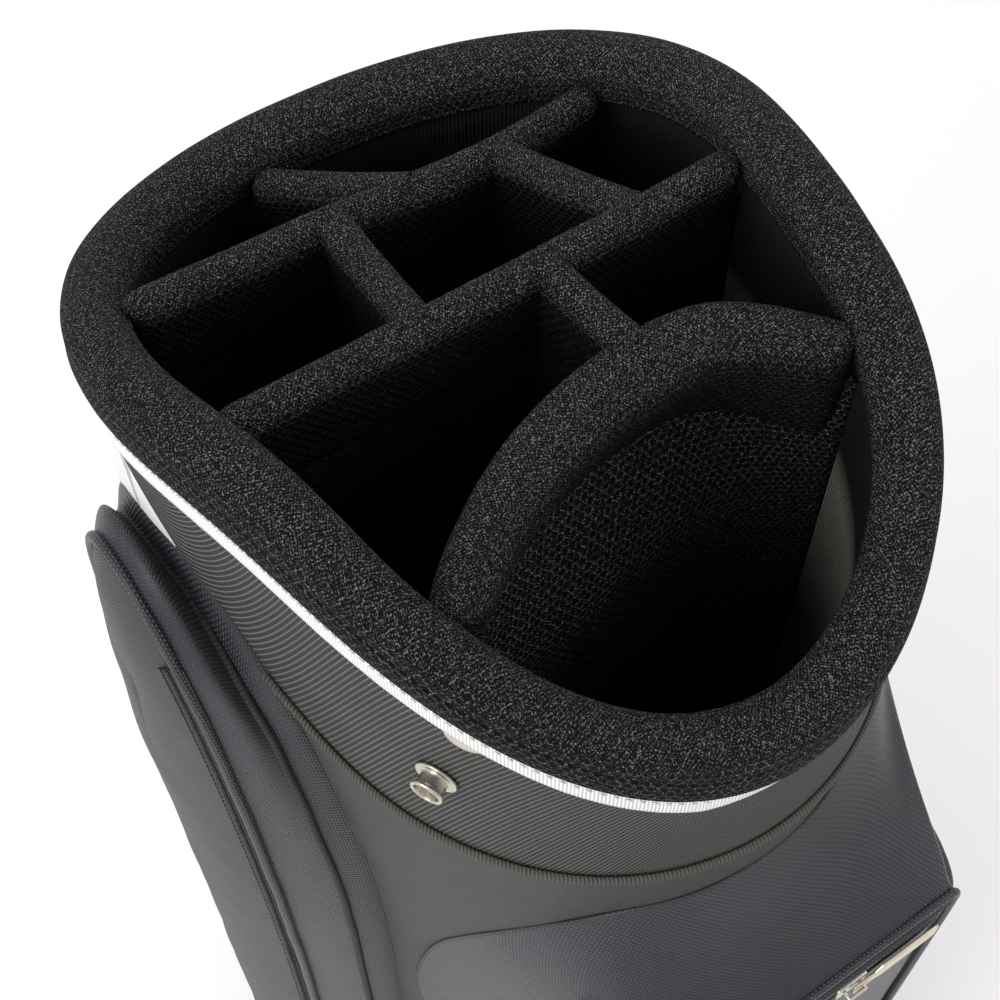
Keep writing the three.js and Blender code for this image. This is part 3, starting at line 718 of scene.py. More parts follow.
for sideName, hand in (("left", -1), ("right", 1)):
    angle = math.radians(studPlan["angle"]) * hand
    stud = standOn(
        lathe(studProfile()), outline(angle, clothPlan["out"] + 0.0002, studPlan["height"]), wallNormal(angle)
    )
    makePiece(f"snap_stud_{sideName}", stud, "nickel", stands=[f"press_stud_{sideName}"])
    # flat rivet heads that stick out from under the tape
    for number, (degrees, below) in enumerate([(40.4, 0.0262), (86.5, 0.0262)], 1):
        angle = math.radians(degrees) * hand
        height = rimHeight(angle) - below
        head = lathe(roundedProfile([
            (0, 0), (0.0062, 0), (0.0062, 0.0005), (0.0048, 0.0009), (0.0018, 0.0008), (0.0010, 0.0004),
            (0, 0.0004),
        ], 0.0004), 40)
        standOn(head, outline(angle, clothPlan["out"] + 0.0002, height), wallNormal(angle))
        makePiece(f"rivet_{sideName}_{number}", head, "nickel")
print("collar made")

# Tube: cloth panels, lining, and what shows of the inner shells.

def panelProfile(angle, w):
    degrees = abs(math.degrees(angle))
    degrees = min(degrees, 360 - degrees)
    under = degrees < math.degrees(collar["half"])
    top = seamHeight(math.radians(degrees)) - 0.0003 if under else rimHeight(angle) - 0.006
    height = clothPlan["floor"] + (top - clothPlan["floor"]) * w
    spot = outline(angle, 0, height)
    sag = 0.0009 * ripple(spot, 9, 3) + 0.0005 * ripple(spot, 30, 5)
    pull = easeStep(height, 0.07, 0.12) * (1 - easeStep(height, top - 0.03, top))
    return clothPlan["out"] - 0.0002 + sag * pull, height


def bodyPanel(name, start, end, columns, finish, node):
    bm = thicken(aroundOutline(panelProfile, start, end, columns, 110), clothPlan["thick"] * 0.8)
    makePiece(name, bm, finish, stands=[node])


bodyPanel("front_cloth", -98, 98, 150, "bodyCloth", "front_body_panel")
bodyPanel("rear_left_cloth", -161.8, -98.3, 60, "whiteCloth", "rear_left_panel")
bodyPanel("rear_right_cloth", 98.3, 161.8, 60, "whiteCloth", "rear_right_panel")
bodyPanel("spine_cloth", 162, 198, 40, "bodyCloth", "spine_panel")


def liningProfile(angle, w):
    high = rimHeight(angle) - 0.0105
    return -0.0052 + 0.0004 * ripple((angle * 3, w * 9, 0), 1), 0.0104 + (high - 0.0104) * w


def liningLitPatches(u, w):
    # painted shade: the light grey lining is painted black behind the rim and in the depths, and stays light
    # grey between, down both sides
    degrees = (u - 0.5) * 360
    right = easeStep(degrees, 27, 30) * (1 - easeStep(degrees, 104, 106))
    left = easeStep(-degrees, 128, 130) * (1 - easeStep(-degrees, 150, 152))
    return max(right, left) * (1 - easeStep(w, 0.930, 0.940)) * (0.25 + 0.75 * easeStep(w, 0.78, 0.90))


lining = thicken(aroundOutline(liningProfile, -180, 180, 360, 50, liningLitPatches), 0.0010)
makePiece("lining_cloth", lining, "lining", stands=["inner_lining"])

for node, finish in (("cuff_frame", "plastic"), ("left_stay", "plastic"), ("right_stay", "plastic"),
                     ("tube_foam", "foam"), ("base_pad", "rubber")):
    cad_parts[node].data.materials.clear()
    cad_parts[node].data.materials.append(finishes[finish])
print("tube made")

# Dividers: padded bars across the top, each with mesh cloth hanging from it down to the base.
barPlan = {"wallClear": 0.0092, "clothClear": 0.0062, "clothThick": 0.0010}
archRun = smoothPath([
    (-0.075, -0.078, 0), (-0.055, -0.060, 0), (-0.024, -0.043, 0), (0.016, -0.0335, 0), (0.052, -0.038, 0),
    (0.080, -0.068, 0),
])
dividers = [
    {"name": "rear", "run": [(-0.092, 0.062), (-0.030, 0.066), (0.033, 0.067), (0.088, 0.074)],
     "top": (0.857, 0.820), "walls": (True, True)},
    {"name": "middle", "run": [(-0.092, 0.006), (0.0, 0.007), (0.095, 0.008)],
     "top": (0.867, 0.848), "walls": (True, True)},
    {"name": "arch", "run": [archRun(k / 12)[:2] for k in range(13)],
     "top": (0.862, 0.850), "walls": (True, True)},
    {"name": "left_cross", "run": [(-0.021, 0.0664), (-0.026, 0.0067)], "top": (0.844, 0.860),
     "walls": (False, False)},
    {"name": "right_cross", "run": [(0.043, 0.0683), (0.056, 0.0076)], "top": (0.829, 0.852),
     "walls": (False, False)},
    {"name": "front_cross", "run": [(0.018, 0.0072), (0.023, -0.0333)], "top": (0.856, 0.8555),
     "walls": (False, False)},
    {"name": "back_cross", "run": [(0.008, 0.0666), (-0.016, 0.106)], "top": (0.837, 0.816),
     "walls": (False, True)},
]


def reachWall(inner, outer, clear):
    ahead = (outer - inner).normalized()
    spot = inner.copy()
    while spot.length < cuffRadius(math.atan2(spot.x, -spot.y)) - clear:
        spot += ahead * 0.0005
    return spot


def dividerPath(divider, clear):
    spots = [Vector((x, y, 0)) for x, y in divider["run"]]
    atStart, atEnd = divider["walls"]
    start, end = spots[0].copy(), spots[-1].copy()
    if atStart:
        spots[0] = reachWall(spots[1], spots[0], clear)
    if atEnd:
        spots[-1] = reachWall(spots[-2], spots[-1], clear)
    line = end - start
    low, high = divider["top"]
    for spot in spots:
        spot.z = low + (high - low) * (spot - start).dot(line) / line.length_squared
    return smoothPath(spots)


# Half sections, from the crown down one side: (across, down) in metres.
plainSide = [
    (0, 0), (0.0027, -0.0006), (0.0050, -0.0030), (0.0060, -0.0074), (0.0056, -0.0140), (0.0042, -0.0230),
    (0.0028, -0.0350), (0.0012, -0.0450), (0, -0.0455),
]
archFront = [
    (0, 0), (0.0040, -0.0002), (0.0072, -0.0012), (0.0084, -0.0034), (0.0096, -0.0024), (0.0126, -0.0040),
    (0.0156, -0.0088), (0.0152, -0.0160), (0.0120, -0.0270), (0.0070, -0.0430), (0.0012, -0.0620), (0, -0.0625),
]


def halfSection(points):
    return smoothPath([(x, z, 0) for x, z in points])


archBack = plainSide[:-2] + [(0.0012, -0.0430), (0.0010, -0.0620), (0, -0.0625)]
plainHalf, archHalf, archBackHalf = halfSection(plainSide), halfSection(archFront), halfSection(archBack)


def barSection(divider, length):
    arch = divider["name"] == "arch"

    def section(t, w):
        hand = -1 if w < 0.5 else 1
        down = abs(w - 0.5) * 2
        half = ((archHalf if hand > 0 else archBackHalf) if arch else plainHalf)(down)
        ends = []
        for fromEnd, atWall in zip((t, 1 - t), divider["walls"]):
            close = min(1.0, fromEnd * length / 0.007)
            ends.append(math.sqrt(max(0.0, 1 - (1 - close) ** 2)) if atWall else 1.0)
        round_ = max(0.02, ends[0] * ends[1])
        front = 0.5 + 0.5 * math.sin(math.pi * min(1, max(0, t))) ** 0.6 if arch and hand > 0 else 1.0
        seed = len(divider["name"])
        soft = 1 + 0.07 * ripple((t * length * 40, w * 2, seed), 1.0)
        sag = -0.0012 * math.sin(math.pi * t) + 0.0006 * ripple((t * length * 30, seed, 0), 1.0)
        lift = half.y * (0.25 + 0.75 * round_) - (1 - round_) * 0.0035
        return hand * half.x * soft * (0.3 + 0.7 * round_) * front * (round_ ** 0.5), lift + sag

    return section


def barOpennessAndShade(name):
    # the arch's front lobe stays closer, with less painted shade, than the other bars' sides
    def read(t, w):
        down = abs(w - 0.5) * 2
        reach = 0.42 if name == "arch" and w > 0.5 else 0.65
        return 0.30 + reach * easeStep(down, 0.12, 0.3)
    return read


for divider in dividers:
    name = divider["name"]
    path = dividerPath(divider, barPlan["wallClear"])
    length = runLengths(path)(1.0)
    columns = max(24, int(length / 0.0016))
    bm = closeEnds(sweep(path, barSection(divider, length), columns, 44,
                         openness=barOpennessAndShade(name), upright=True))
    bar = makePiece(f"{name}_divider_padding", bm, "barMesh", stands=[f"{name}_divider_bar"])
    hang = dividerPath(divider, barPlan["clothClear"])
    width = runLengths(hang)(1.0)
    isArch = name == "arch"
    forward = 0.026 if isArch else 0.0

    def clothPlace(t, w, hang=hang, forward=forward, seed=len(name)):
        spot = hang(t)
        top = spot.z - 0.024
        depth = (top - 0.0110) * (1 - w)
        height = top - depth
        held = math.sin(math.pi * min(1, max(0, t))) * easeStep(depth, 0.042, 0.09)
        wave = (0.0012 * ripple((t * 5, height * 9, seed), 1.0)) * held
        belly = math.sin(math.pi * min(1, max(0, t))) * easeStep(depth, 0.004, 0.075)
        belly *= forward * (1 - easeStep(depth, 0.15, 0.5))
        return Vector((spot.x + wave, spot.y + wave - belly, height))

    height = hang(0.5).z - 0.035
    bm = surface(max(10, int(width / 0.004)), 90, clothPlace,
                 openness=lambda u, w, isArch=isArch: 0.85 if isArch else 0.45)
    # the arch's cloth takes the lit copy of the mesh, the wells' cloth the shaded copy
    cloth = makePiece(f"{name}_divider_cloth", thicken(bm, barPlan["clothThick"]),
                      "litArchMesh" if isArch else "shadedWellMesh", stands=[f"{name}_divider_panel"])

# the sewn line along the arch bar
archPath = dividerPath(dividers[2], barPlan["wallClear"])
archLength = runLengths(archPath)(1.0)
archSection = barSection(dividers[2], archLength)


def archSeam(t):
    t = 0.05 + 0.90 * t
    ahead = (archPath(min(1, t + 0.004)) - archPath(max(0, t - 0.004))).normalized()
    side = ahead.cross(Vector((0, 0, 1))).normalized()
    across, high = archSection(t, 0.5 + 0.5 * 0.155)
    return archPath(t) + side * across + Vector((0, 0, high + 0.0003))


stitchRow("arch_seam_stitches", archSeam, lambda t: Vector((0, 0, 1)), sewing)
print("dividers made")


# A pocket's cloth never reaches through the bag's wall.
def outsideWall(spot, clear):
    least = cuffRadius(math.atan2(spot.x, -spot.y)) + clear
    reach = math.hypot(spot.x, spot.y)
    if reach >= least:
        return spot
    return Vector((spot.x * least / reach, spot.y * least / reach, spot.z))


# Pockets: loops round a tub, drawn in from the wall to the middle of the face.
def loopSpot(plan, s, inset):
    hand = -1 if s < 0.5 else 1
    m = s * 2 if s < 0.5 else (1 - s) * 2
    half = max(0.0, plan["half"] - inset)
    low, high = plan["bottom"] + inset, plan["top"] - inset
    corner = min(half, max(0.002, plan["corner"] - inset * 0.6))
    shoulder = min(plan["shoulder"], high - 0.004)
    power = 2 / plan["power"]
    if m < 0.10:
        p, z = (half - corner) * m / 0.10, low
    elif m < 0.22:
        turn = math.radians(90 * (m - 0.10) / 0.12)
        p, z = half - corner + corner * math.sin(turn), low + corner * (1 - math.cos(turn))
    elif m < 0.55:
        p, z = half, low + corner + (shoulder - low - corner) * (m - 0.22) / 0.33
    else:
        turn = math.radians(90 * (m - 0.55) / 0.45)
        p = half * max(0.0, math.cos(turn)) ** power
        z = shoulder + (high - shoulder) * math.sin(turn) ** power
    lean = plan.get("lean", 0) * max(0.0, (z - plan["shoulder"]) / (plan["top"] - plan["shoulder"])) ** 2
    return hand * p + lean, z


def ovalDepth(plan, q):
    turn = math.radians(90 * q)
    return plan["half"] * (1 - math.cos(turn)), plan["wall"] + plan["depth"] * math.sin(turn)


def boxDepth(plan, q):
    radius = plan["radius"]
    straight = plan["depth"] - radius
    if q < 0.45:
        return 0.0, plan["wall"] + straight * q / 0.45
    if q < 0.65:
        turn = math.radians(90 * (q - 0.45) / 0.20)
        return radius * (1 - math.cos(turn)), plan["wall"] + straight + radius * math.sin(turn)
    flat = (q - 0.65) / 0.35
    return radius + (plan["half"] - radius) * flat, plan["wall"] + plan["depth"]


def tubSpot(plan, s, q):
    inset, depth = plan["profile"](plan, q)
    p, z = loopSpot(plan, s, inset)
    x, y = p, z
    folds = ripple((x * 1.2, y * 0.5, q * 0.04), 22, plan["seed"])
    folds += 0.5 * ripple((x, y, q * 0.04), 45, plan["seed"])
    soft = plan["fold"] * folds * easeStep(q, 0.0, 0.2)
    edge = 1 - 0.8 * math.exp(-((q - plan["split"]) / 0.05) ** 2)
    depth += soft * edge - plan["fold"] * 0.8
    hand = plan["hand"]
    if hand == 0:
        return Vector((p, -depth, z))
    # a side pocket ends above in a soft lobe, with a crease between it and the wall
    crown = easeStep(z, 0.66, 0.760)
    puff = math.sin(math.pi * min(1.0, q)) ** 0.75 * crown
    crease = math.exp(-((q - 0.20) / 0.10) ** 2) * crown
    depth = min(plan["widest"], depth + plan["lobePush"] * puff - plan["fall"] * crown * q)
    # near the wall the cloth starts where the bag's side does
    y = plan["centre"] + p
    near = plan["wall"]
    for _ in range(6):
        near = math.sqrt(max(0.0, (cuffRadius(math.atan2(near, -y)) + plan["clear"]) ** 2 - y * y))
    depth += max(0.0, near - plan["wall"]) * max(0.0, 1 - q / plan["split"]) ** 2
    return Vector((hand * depth, y, z + plan["lobeRise"] * puff - plan["crease"] * crease))


def tubNormal(plan, s, q):
    du = tubSpot(plan, min(1.0, s + 0.003), q) - tubSpot(plan, max(0.0, s - 0.003), q)
    dq = tubSpot(plan, s, min(1.0, q + 0.01)) - tubSpot(plan, s, max(0.0, q - 0.01))
    normal = du.cross(dq).normalized()
    middle = Vector((0, 0, tubSpot(plan, s, q).z))
    return normal if normal.dot(tubSpot(plan, s, q) - middle) > 0 else -normal


def tubPart(name, plan, part, rows, finish, node, columns=220):
    def share(u, w):
        # the side and the front part only where the zip runs, and meet everywhere else
        split = plan["split"]
        first, last = plan["zip"]
        opened = easeStep(u, first - 0.01, first + 0.004) * (1 - easeStep(u, last - 0.004, last + 0.01))
        gap = plan["gap"] * opened
        return (split - gap) * w if part == "side" else split + gap + (1 - split - gap) * w

    def flatChart(u, w):
        # a pocket's face is cut flat, so its weave runs straight up
        return loopSpot(plan, u, plan["profile"](plan, share(u, w))[0])

    chart = None if part == "side" else flatChart
    bm = surface(columns, rows, lambda u, w: tubSpot(plan, u, share(u, w)), chart)
    bmesh.ops.recalc_face_normals(bm, faces=bm.faces)
    thicken(bm, 0.0011)
    return makePiece(name, bm, finish, stands=[node])


# A round cord of cloth along a path.
def welt(name, path, radius, finish="pocketCloth", columns=160, squash=1.0):
    def section(t, w):
        turn = 2 * math.pi * w
        return radius * math.cos(turn), radius * squash * math.sin(turn)

    bm = sweep(path, section, columns, 12, up=lambda t: Vector((0.13, 0.31, 0.94)).normalized())
    makePiece(name, closeEnds(bm), finish)


zipPlan = {"tape": 0.0050, "thick": 0.0006, "tooth": 0.00062, "pitch": 0.0015, "reach": 0.0021}


def zipOn(name, path, outwards, nodes, lift=0.0009):
    length = runLengths(path)(1.0)

    def section(t, w):
        turn = 2 * math.pi * w
        wide = math.copysign(abs(math.cos(turn)) ** 0.5, math.cos(turn)) * zipPlan["tape"]
        return wide, math.sin(turn) * zipPlan["thick"]

    bm = sweep(path, section, max(40, int(length / 0.004)), 16, up=outwards)
    makePiece(f"{name}_zip_tape", closeEnds(bm), "blackTape", stands=nodes)
    bm = bmesh.new()
    count = int(length / zipPlan["pitch"])
    for k in range(count):
        t = (k + 0.5) / count
        ahead = (path(min(1.0, t + 0.002)) - path(max(0.0, t - 0.002))).normalized()
        out = outwards(t).normalized()
        side = ahead.cross(out).normalized()
        for hand in (-1, 1):
            turn = Matrix((side, ahead, out)).transposed().to_4x4()
            slant = Matrix.Rotation(hand * 0.22, 4, "Z")
            size = Matrix.Diagonal((zipPlan["reach"] * 0.62, zipPlan["tooth"] * 0.78, zipPlan["tooth"], 1))
            spot = path(t) + out * lift + side * hand * zipPlan["reach"] * 0.5
            spot += ahead * hand * zipPlan["pitch"] * 0.25
            bmesh.ops.create_icosphere(
                bm, subdivisions=1, radius=1.0, matrix=Matrix.Translation(spot) @ turn @ slant @ size
            )
    bmesh.ops.recalc_face_normals(bm, faces=bm.faces)
    makePiece(f"{name}_zip_coil", bm, "zipCoil")
    for hand in (-1, 1):
        def beside(t, hand=hand):
            ahead = (path(min(1.0, t + 0.004)) - path(max(0.0, t - 0.004))).normalized()
            side = ahead.cross(outwards(t)).normalized()
            return path(t) + side * hand * zipPlan["tape"] * 0.72
        row = "inner" if hand < 0 else "outer"
        stitchRow(f"{name}_zip_stitches_{row}", beside, outwards, {**sewing, "lift": zipPlan["thick"]})


sidePlan = {
    "profile": ovalDepth, "centre": 0.006, "half": 0.066, "bottom": 0.150, "top": 0.795, "shoulder": 0.540,
    "corner": 0.045, "power": 2.6, "lean": 0.020, "wall": 0.096, "depth": 0.050, "split": 0.53, "fold": 0.0011,
    "clear": 0.0076, "zip": (0.07, 0.43), "gap": 0.012, "lobeRise": 0.017, "lobePush": 0.0030, "crease": 0.018,
    "fall": 0.0055, "widest": 0.1462,
}
for sideName, hand in (("left", -1), ("right", 1)):
    plan = {**sidePlan, "hand": hand, "seed": 3.0 + hand}
    split = plan["split"]
    tubPart(f"{sideName}_pocket_side", plan, "side", 44, "pocketCloth",
            f"{sideName}_pocket_gusset")
    tubPart(f"{sideName}_pocket_front", plan, "front", 40, "sideCloth",
            f"{sideName}_pocket_face")

    def seamSpot(t, plan=plan, q=split - 0.035):
        s = 0.04 + 0.92 * t
        return tubSpot(plan, s, q) + tubNormal(plan, s, q) * 0.0008

    welt(f"{sideName}_pocket_welt", seamSpot, 0.0019, columns=240)

    def gussetSpot(t, plan=plan, q=0.20):
        s = 0.10 + 0.37 * t
        return tubSpot(plan, s, q) + tubNormal(plan, s, q) * 0.0006

    welt(f"{sideName}_pocket_binding", gussetSpot, 0.0015, "webbing", columns=180)

    def zipSpot(t, plan=plan, q=split):
        s = 0.07 + 0.36 * t
        return tubSpot(plan, s, q) + tubNormal(plan, s, q) * 0.0006

    def zipFacing(t, plan=plan, q=split):
        return tubNormal(plan, 0.07 + 0.36 * t, q)

    zipOn(f"{sideName}_pocket", zipSpot, zipFacing, [f"{sideName}_pocket_zip"])
print("side pockets made")

ballPlan = {
    "profile": boxDepth, "hand": 0, "seed": 8.0, "half": 0.084, "bottom": 0.098, "top": 0.436,
    "shoulder": 0.350, "corner": 0.034, "power": 3.2, "wall": 0.092, "depth": 0.1155, "radius": 0.030,
    "split": 0.485, "fold": 0.0013, "zip": (0.13, 0.87), "gap": 0.012,
}
tubPart("ball_pocket_side", ballPlan, "side", 44, "pocketCloth", "ball_pocket_gusset")
tubPart("ball_pocket_front", ballPlan, "front", 60, "pocketCloth", "ball_pocket_face")


def ballZipSpot(t):
    s = 0.13 + 0.74 * t
    q = ballPlan["split"]
    return tubSpot(ballPlan, s, q) + tubNormal(ballPlan, s, q) * 0.0006


def ballZipFacing(t):
    return tubNormal(ballPlan, 0.13 + 0.74 * t, ballPlan["split"])


zipOn("ball_pocket", ballZipSpot, ballZipFacing, ["ball_pocket_zip"])


def ballWeltSpot(t):
    s = 0.02 + 0.96 * t
    return tubSpot(ballPlan, s, 0.60) + tubNormal(ballPlan, s, 0.60) * 0.0004


welt("ball_pocket_welt", ballWeltSpot, 0.0018, columns=240)

# Upper front pocket: a cloth top that sweeps down from the wall to a sharp front edge.
wallCurve = smoothPath([outline(math.radians(a), 0.0086, z) for a, z in (
    (0, 0.462), (-30, 0.463), (-44, 0.470), (-51, 0.500), (-53, 0.545), (-47, 0.612), (-36, 0.664),
    (-23, 0.700), (-8, 0.710), (8, 0.712), (20, 0.722), (32, 0.732), (43, 0.722), (51, 0.660), (54, 0.560),
    (51, 0.500), (44, 0.470), (30, 0.463), (0, 0.462),
)])
edgeCurve = smoothPath([(x, -0.1868, z) for x, z in (
    (0, 0.474), (-0.030, 0.474), (-0.054, 0.475), (-0.063, 0.484), (-0.064, 0.520), (-0.064, 0.580),
    (-0.064, 0.640), (-0.0625, 0.657), (-0.055, 0.6605), (-0.030, 0.661), (0, 0.661), (0.030, 0.661),
    (0.055, 0.6605), (0.0625, 0.657), (0.064, 0.640), (0.064, 0.580), (0.064, 0.520), (0.063, 0.484),
    (0.054, 0.475), (0.030, 0.474), (0, 0.474),
)])


topPlan = {"sag": 0.0085, "ridge": 0.0062, "ridgeSide": 0.0034, "broadFold": 0.0030, "fineFold": 0.0011}


def upperSpot(s, r):
    spot = wallCurve(s) * (1 - r) + edgeCurve(s) * r
    top = math.exp(-((s - 0.5) / 0.115) ** 4)
    spot.z -= topPlan["sag"] * math.sin(math.pi * r) * top
    hollow = math.exp(-((s - 0.690) / 0.070) ** 2) * math.sin(math.pi * r)
    spot += Vector((-0.021, 0.007, -0.004)) * hollow
    ridge = math.exp(-((s - 0.605) / 0.014) ** 2) * math.sin(math.pi * min(1, r * 1.05)) ** 0.7
    spot.z += topPlan["ridge"] * ridge
    spot.x += topPlan["ridgeSide"] * ridge
    fold = ripple((spot.x, spot.y * 0.6, spot.z * 0.6), 26, 2.2) * topPlan["broadFold"]
    fold += ripple((spot.x, spot.y * 0.5, spot.z * 0.5), 60, 7.1) * topPlan["fineFold"]
    return outsideWall(spot + Vector((0, -0.4, 0.9)) * fold * math.sin(math.pi * r) ** 0.8, 0.0086 + 0.002 * r)


upperTop = surface(260, 44, upperSpot)
bmesh.ops.recalc_face_normals(upperTop, faces=upperTop.faces)
makePiece("upper_pocket_cloth_top", thicken(upperTop, 0.0011), "pocketCloth",
          stands=["upper_pocket_top"])


def plateDepth(plan, q):
    turn = math.radians(min(90, 90 * q / 0.12))
    inwards = max(0.0, (q - 0.12) / 0.88)
    inset = plan["radius"] * (1 - math.cos(turn)) + inwards * (plan["half"] - plan["radius"])
    return inset, plan["wall"] + plan["depth"] * math.sin(turn) + 0.0012 * math.sin(math.pi * q)


upperPlan = {
    "profile": plateDepth, "hand": 0, "seed": 5.0, "half": 0.0638, "bottom": 0.4745, "top": 0.6395,
    "shoulder": 0.610, "corner": 0.012, "power": 7.0, "wall": 0.1815, "depth": 0.0055, "radius": 0.006,
    "split": 0.0, "fold": 0.0008, "zip": (0.0, 1.0), "gap": 0.0,
}
tubPart("upper_pocket_front", upperPlan, "front", 50, "pocketCloth", "upper_pocket_face")
welt("upper_pocket_edge_welt", lambda t: edgeCurve(0.02 + 0.96 * t) + Vector((0, -0.0004, 0)), 0.0016,
     columns=300)

upperZipRun = smoothPath([
    (-0.0740, -0.1430, 0.646), (-0.0680, -0.1700, 0.646), (-0.0610, -0.1830, 0.646), (-0.0500, -0.1858, 0.646),
    (-0.0250, -0.1862, 0.646), (0, -0.1862, 0.646), (0.0250, -0.1862, 0.646), (0.0500, -0.1858, 0.646),
    (0.0610, -0.1830, 0.646), (0.0680, -0.1700, 0.646), (0.0740, -0.1430, 0.646),
])


def upperZipFacing(t):
    ahead = (upperZipRun(min(1.0, t + 0.01)) - upperZipRun(max(0.0, t - 0.01))).normalized()
    return Vector((0, 0, 1)).cross(ahead) * -1


zipOn("upper_pocket", upperZipRun, upperZipFacing, ["upper_pocket_zip"])
for place, lift, radius in (("upper", 0.0066, 0.0026), ("lower", -0.0070, 0.0022)):
    def weltSpot(t, lift=lift):
        return upperZipRun(t) + Vector((0, 0, lift)) + upperZipFacing(t).normalized() * 0.0012
    welt(f"upper_pocket_zip_welt_{place}", weltSpot, radius, columns=200, squash=0.8)
print("front pockets made")


# A finer copy of a metal or webbing part: its faces merged flat, its edges rounded.
def refined(name, node, radius, segments, finish, body="bag"):
    bm = bmesh.new()
    bm.from_mesh(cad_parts[node].data)
    bmesh.ops.remove_doubles(bm, verts=bm.verts, dist=1e-5)
    bmesh.ops.dissolve_limit(bm, angle_limit=math.radians(3), verts=bm.verts, edges=bm.edges)
    sharp = [edge for edge in bm.edges if edge.is_manifold and edge.calc_face_angle(0) > math.radians(28)]
    bmesh.ops.bevel(bm, geom=sharp, offset=radius, offset_type="OFFSET", affect="EDGES", segments=segments,
                    profile=0.5, material=-1, clamp_overlap=True)
    bmesh.ops.triangulate(bm, faces=[face for face in bm.faces if len(face.verts) > 4])
    paper = bm.loops.layers.uv.verify()
    for face in bm.faces:
        for loop in face.loops:
            loop[paper].uv = (loop.vert.co.z, loop.vert.co.x + loop.vert.co.y)
    return makePiece(name, bm, finish, body, [node])


for pocket in ("left_pocket", "right_pocket", "ball_pocket", "upper_pocket"):
    refined(f"{pocket}_zip_slider", f"{pocket}_slider", 0.0005, 3, "nickel", f"{pocket}_slider")
    refined(f"{pocket}_zip_puller", f"{pocket}_puller", 0.00042, 3, "champagne",
            f"{pocket}_puller")
for place in ("upper", "lower"):
    refined(f"{place}_strap_ring", f"{place}_ring", 0.0018, 5, "nickel")
    refined(f"{place}_strap_snap", f"{place}_strap_hook", 0.0015, 5, "nickel", "shoulder_strap")
    refined(f"{place}_tab_webbing", f"{place}_strap_tab", 0.0008, 3, "webbing")
print("hardware made")


# Carrying gear on the spine.
spineY = 0.1352
handlePlan = {"middle": 0.499, "wide": 0.0124, "strap": 0.0012, "grip": 0.0023}
handlePath = smoothPath([(0, spineY + y, handlePlan["middle"] + z) for y, z in (
    (0.0044, 0.103), (0.0044, 0.081), (0.017, 0.065), (0.026, 0.035), (0.027, 0), (0.026, -0.035),
    (0.017, -0.065), (0.0044, -0.081), (0.0044, -0.103),
)])


def strapUp(path):
    def up(t):
        ahead = (path(min(1.0, t + 0.004)) - path(max(0.0, t - 0.004))).normalized()
        return Vector((1, 0, 0)).cross(ahead)
    return up


def flatSection(wide, thick, power=0.35):
    def section(t, w):
        turn = 2 * math.pi * w
        across = math.copysign(abs(math.cos(turn)) ** power, math.cos(turn)) * wide
        return across, math.copysign(abs(math.sin(turn)) ** 0.8, math.sin(turn)) * thick
    return section


def gripSection(t, w):
    swell = easeStep(t, 0.2, 0.3) * (1 - easeStep(t, 0.7, 0.8))
    turn = 2 * math.pi * w
    across = math.copysign(abs(math.cos(turn)) ** (0.35 + 0.3 * swell), math.cos(turn))
    thick = handlePlan["strap"] + handlePlan["grip"] * swell
    return across * handlePlan["wide"], math.sin(turn) * thick


grip = closeEnds(sweep(handlePath, gripSection, 150, 28, up=strapUp(handlePath)))
makePiece("handle_grip", grip, "webbing", stands=["carry_handle"])

anchorPlan = {"upper": 0.690, "lower": 0.350, "ringY": spineY + 0.010}
strapTop, strapEnd = anchorPlan["upper"] - 0.041, anchorPlan["lower"] - 0.041
ringY = anchorPlan["ringY"]
strapPath = smoothPath([(0, y, z) for y, z in (
    (ringY, strapTop), (ringY + 0.004, strapTop - 0.022), (spineY + 0.036, 0.570), (spineY + 0.055, 0.480),
    (spineY + 0.068, 0.390), (spineY + 0.070, 0.330), (spineY + 0.058, 0.284), (spineY + 0.034, 0.270),
    (ringY + 0.004, 0.288), (ringY, strapEnd),
)])
strap = closeEnds(sweep(strapPath, flatSection(0.0125, 0.0014), 260, 20, up=strapUp(strapPath)))
makePiece("strap_webbing", strap, "webbing", "shoulder_strap", ["shoulder_strap"])

padPath = smoothPath([(0, spineY + y, z) for y, z in (
    (0.0445, 0.575), (0.055, 0.530), (0.0645, 0.480), (0.074, 0.430), (0.0785, 0.385),
)])


cushionPlan = {"wide": 0.0275, "thick": 0.0056, "channel": 0.30, "quilt": 0.22}


def padSection(t, w):
    turn = 2 * math.pi * w
    end = math.sqrt(max(0.0, 1 - (max(0.0, abs(t - 0.5) * 2 - 0.86) / 0.14) ** 2))
    channel = 1 - cushionPlan["channel"] * math.exp(-((abs(math.cos(turn)) - 0.62) / 0.10) ** 2)
    quilt = 1 - cushionPlan["quilt"] * math.exp(-(((t * 5) % 1 - 0.5) / 0.07) ** 2)
    across = math.copysign(abs(math.cos(turn)) ** 0.5, math.cos(turn)) * cushionPlan["wide"] * max(0.15, end)
    return across, math.sin(turn) * cushionPlan["thick"] * channel * quilt * max(0.15, end)


pad = closeEnds(sweep(padPath, padSection, 150, 48, up=strapUp(padPath), openness=lambda t, w: 0.8))
makePiece("strap_cushion", pad, "airMesh", "shoulder_strap", ["strap_pad"])
print("strap made")


# Moulded base tray with a rolled lip, a groove and a ribbed skirt.
trayPlan = {"out": 0.0110, "bottom": 0.0030, "top": 0.0640, "round": 0.0045}


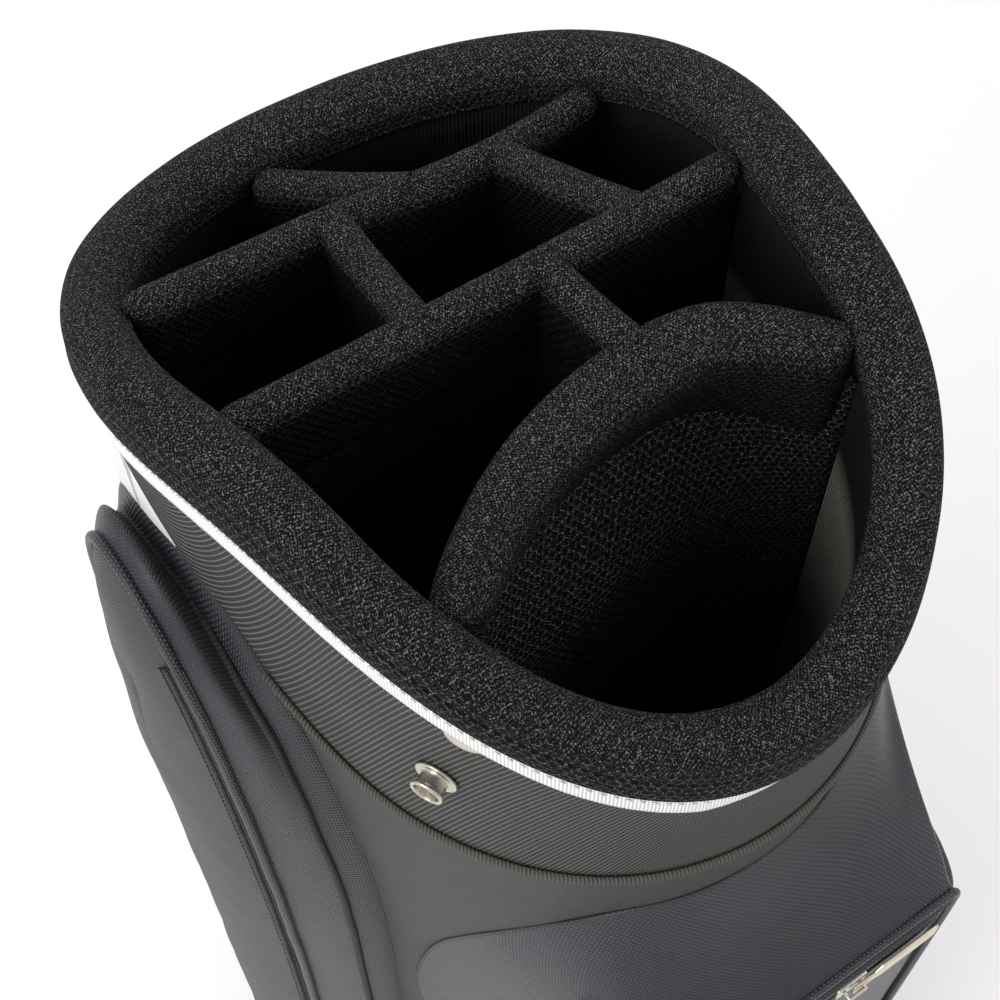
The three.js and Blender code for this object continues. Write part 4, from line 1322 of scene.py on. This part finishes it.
def trayProfile(angle, w):
    out, low, high, radius = trayPlan["out"], trayPlan["bottom"], trayPlan["top"], trayPlan["round"]
    if w < 0.12:  # in from the middle of the underside
        return -0.10 + (out - radius + 0.10) * w / 0.12, low
    if w < 0.22:
        turn = math.radians(90 * (w - 0.12) / 0.10)
        return out - radius + radius * math.sin(turn), low + radius * (1 - math.cos(turn))
    if w < 0.72:
        t = (w - 0.22) / 0.50
        height = low + radius + (high - low - radius - 0.002) * t
        rib = 0.0006 * max(0.0, math.sin(angle * 90)) * easeStep(t, 0.05, 0.15) * (1 - easeStep(t, 0.55, 0.65))
        groove = 0.0008 * math.exp(-((t - 0.72) / 0.02) ** 2)
        return out - 0.0006 + rib - groove, height
    if w < 0.84:
        turn = math.radians(180 * (w - 0.72) / 0.12)
        return out - 0.0012 + 0.0012 * math.cos(turn), high - 0.0014 + 0.0014 * math.sin(turn)
    t = (w - 0.84) / 0.16
    return 0.0088, high - 0.0014 - (high - 0.0114) * t


tray = aroundOutline(trayProfile, -180, 180, 720, 60)
makePiece("base_shell", thicken(tray, 0.0012), "plastic", stands=["base_tray"])
print("base made")

# Floor and soft light.
floor = bmesh.new()
bmesh.ops.create_grid(floor, x_segments=1, y_segments=1, size=6.0)
floorMesh = bpy.data.meshes.new("floor")
floor.to_mesh(floorMesh)
floor.free()
floorPiece = bpy.data.objects.new("floor", floorMesh)
scene.collection.objects.link(floorPiece)
paint = Finish("floorPaint", {"Base Color": (0.93, 0.93, 0.93, 1), "Roughness": 0.8})
floorMesh.materials.append(paint.material)

lightPlan = [
    ("key", (-1.7, -0.2, 1.9), 1.2, 26.0),
    ("fill", (1.5, -0.9, 1.9), 1.2, 9.0),
    ("top", (-0.2, 0.5, 2.6), 1.2, 3.0),
]
for name, place, size, power in lightPlan:
    light = bpy.data.lights.new(name, "AREA")
    light.size = size
    light.energy = power
    lamp = bpy.data.objects.new(name, light)
    scene.collection.objects.link(lamp)
    lamp.location = place
    lamp.rotation_mode = "QUATERNION"
    lamp.rotation_quaternion = (Vector((0, 0, 0.7)) - Vector(place)).to_track_quat("-Z", "Y")
world = bpy.data.worlds.new("studio")
scene.world = world
world.use_nodes = True
background = world.node_tree.nodes["Background"]
background.inputs["Color"].default_value = (1, 1, 1, 1)
background.inputs["Strength"].default_value = 0.85
scene.view_settings.view_transform = "Standard"

print("scene finished")
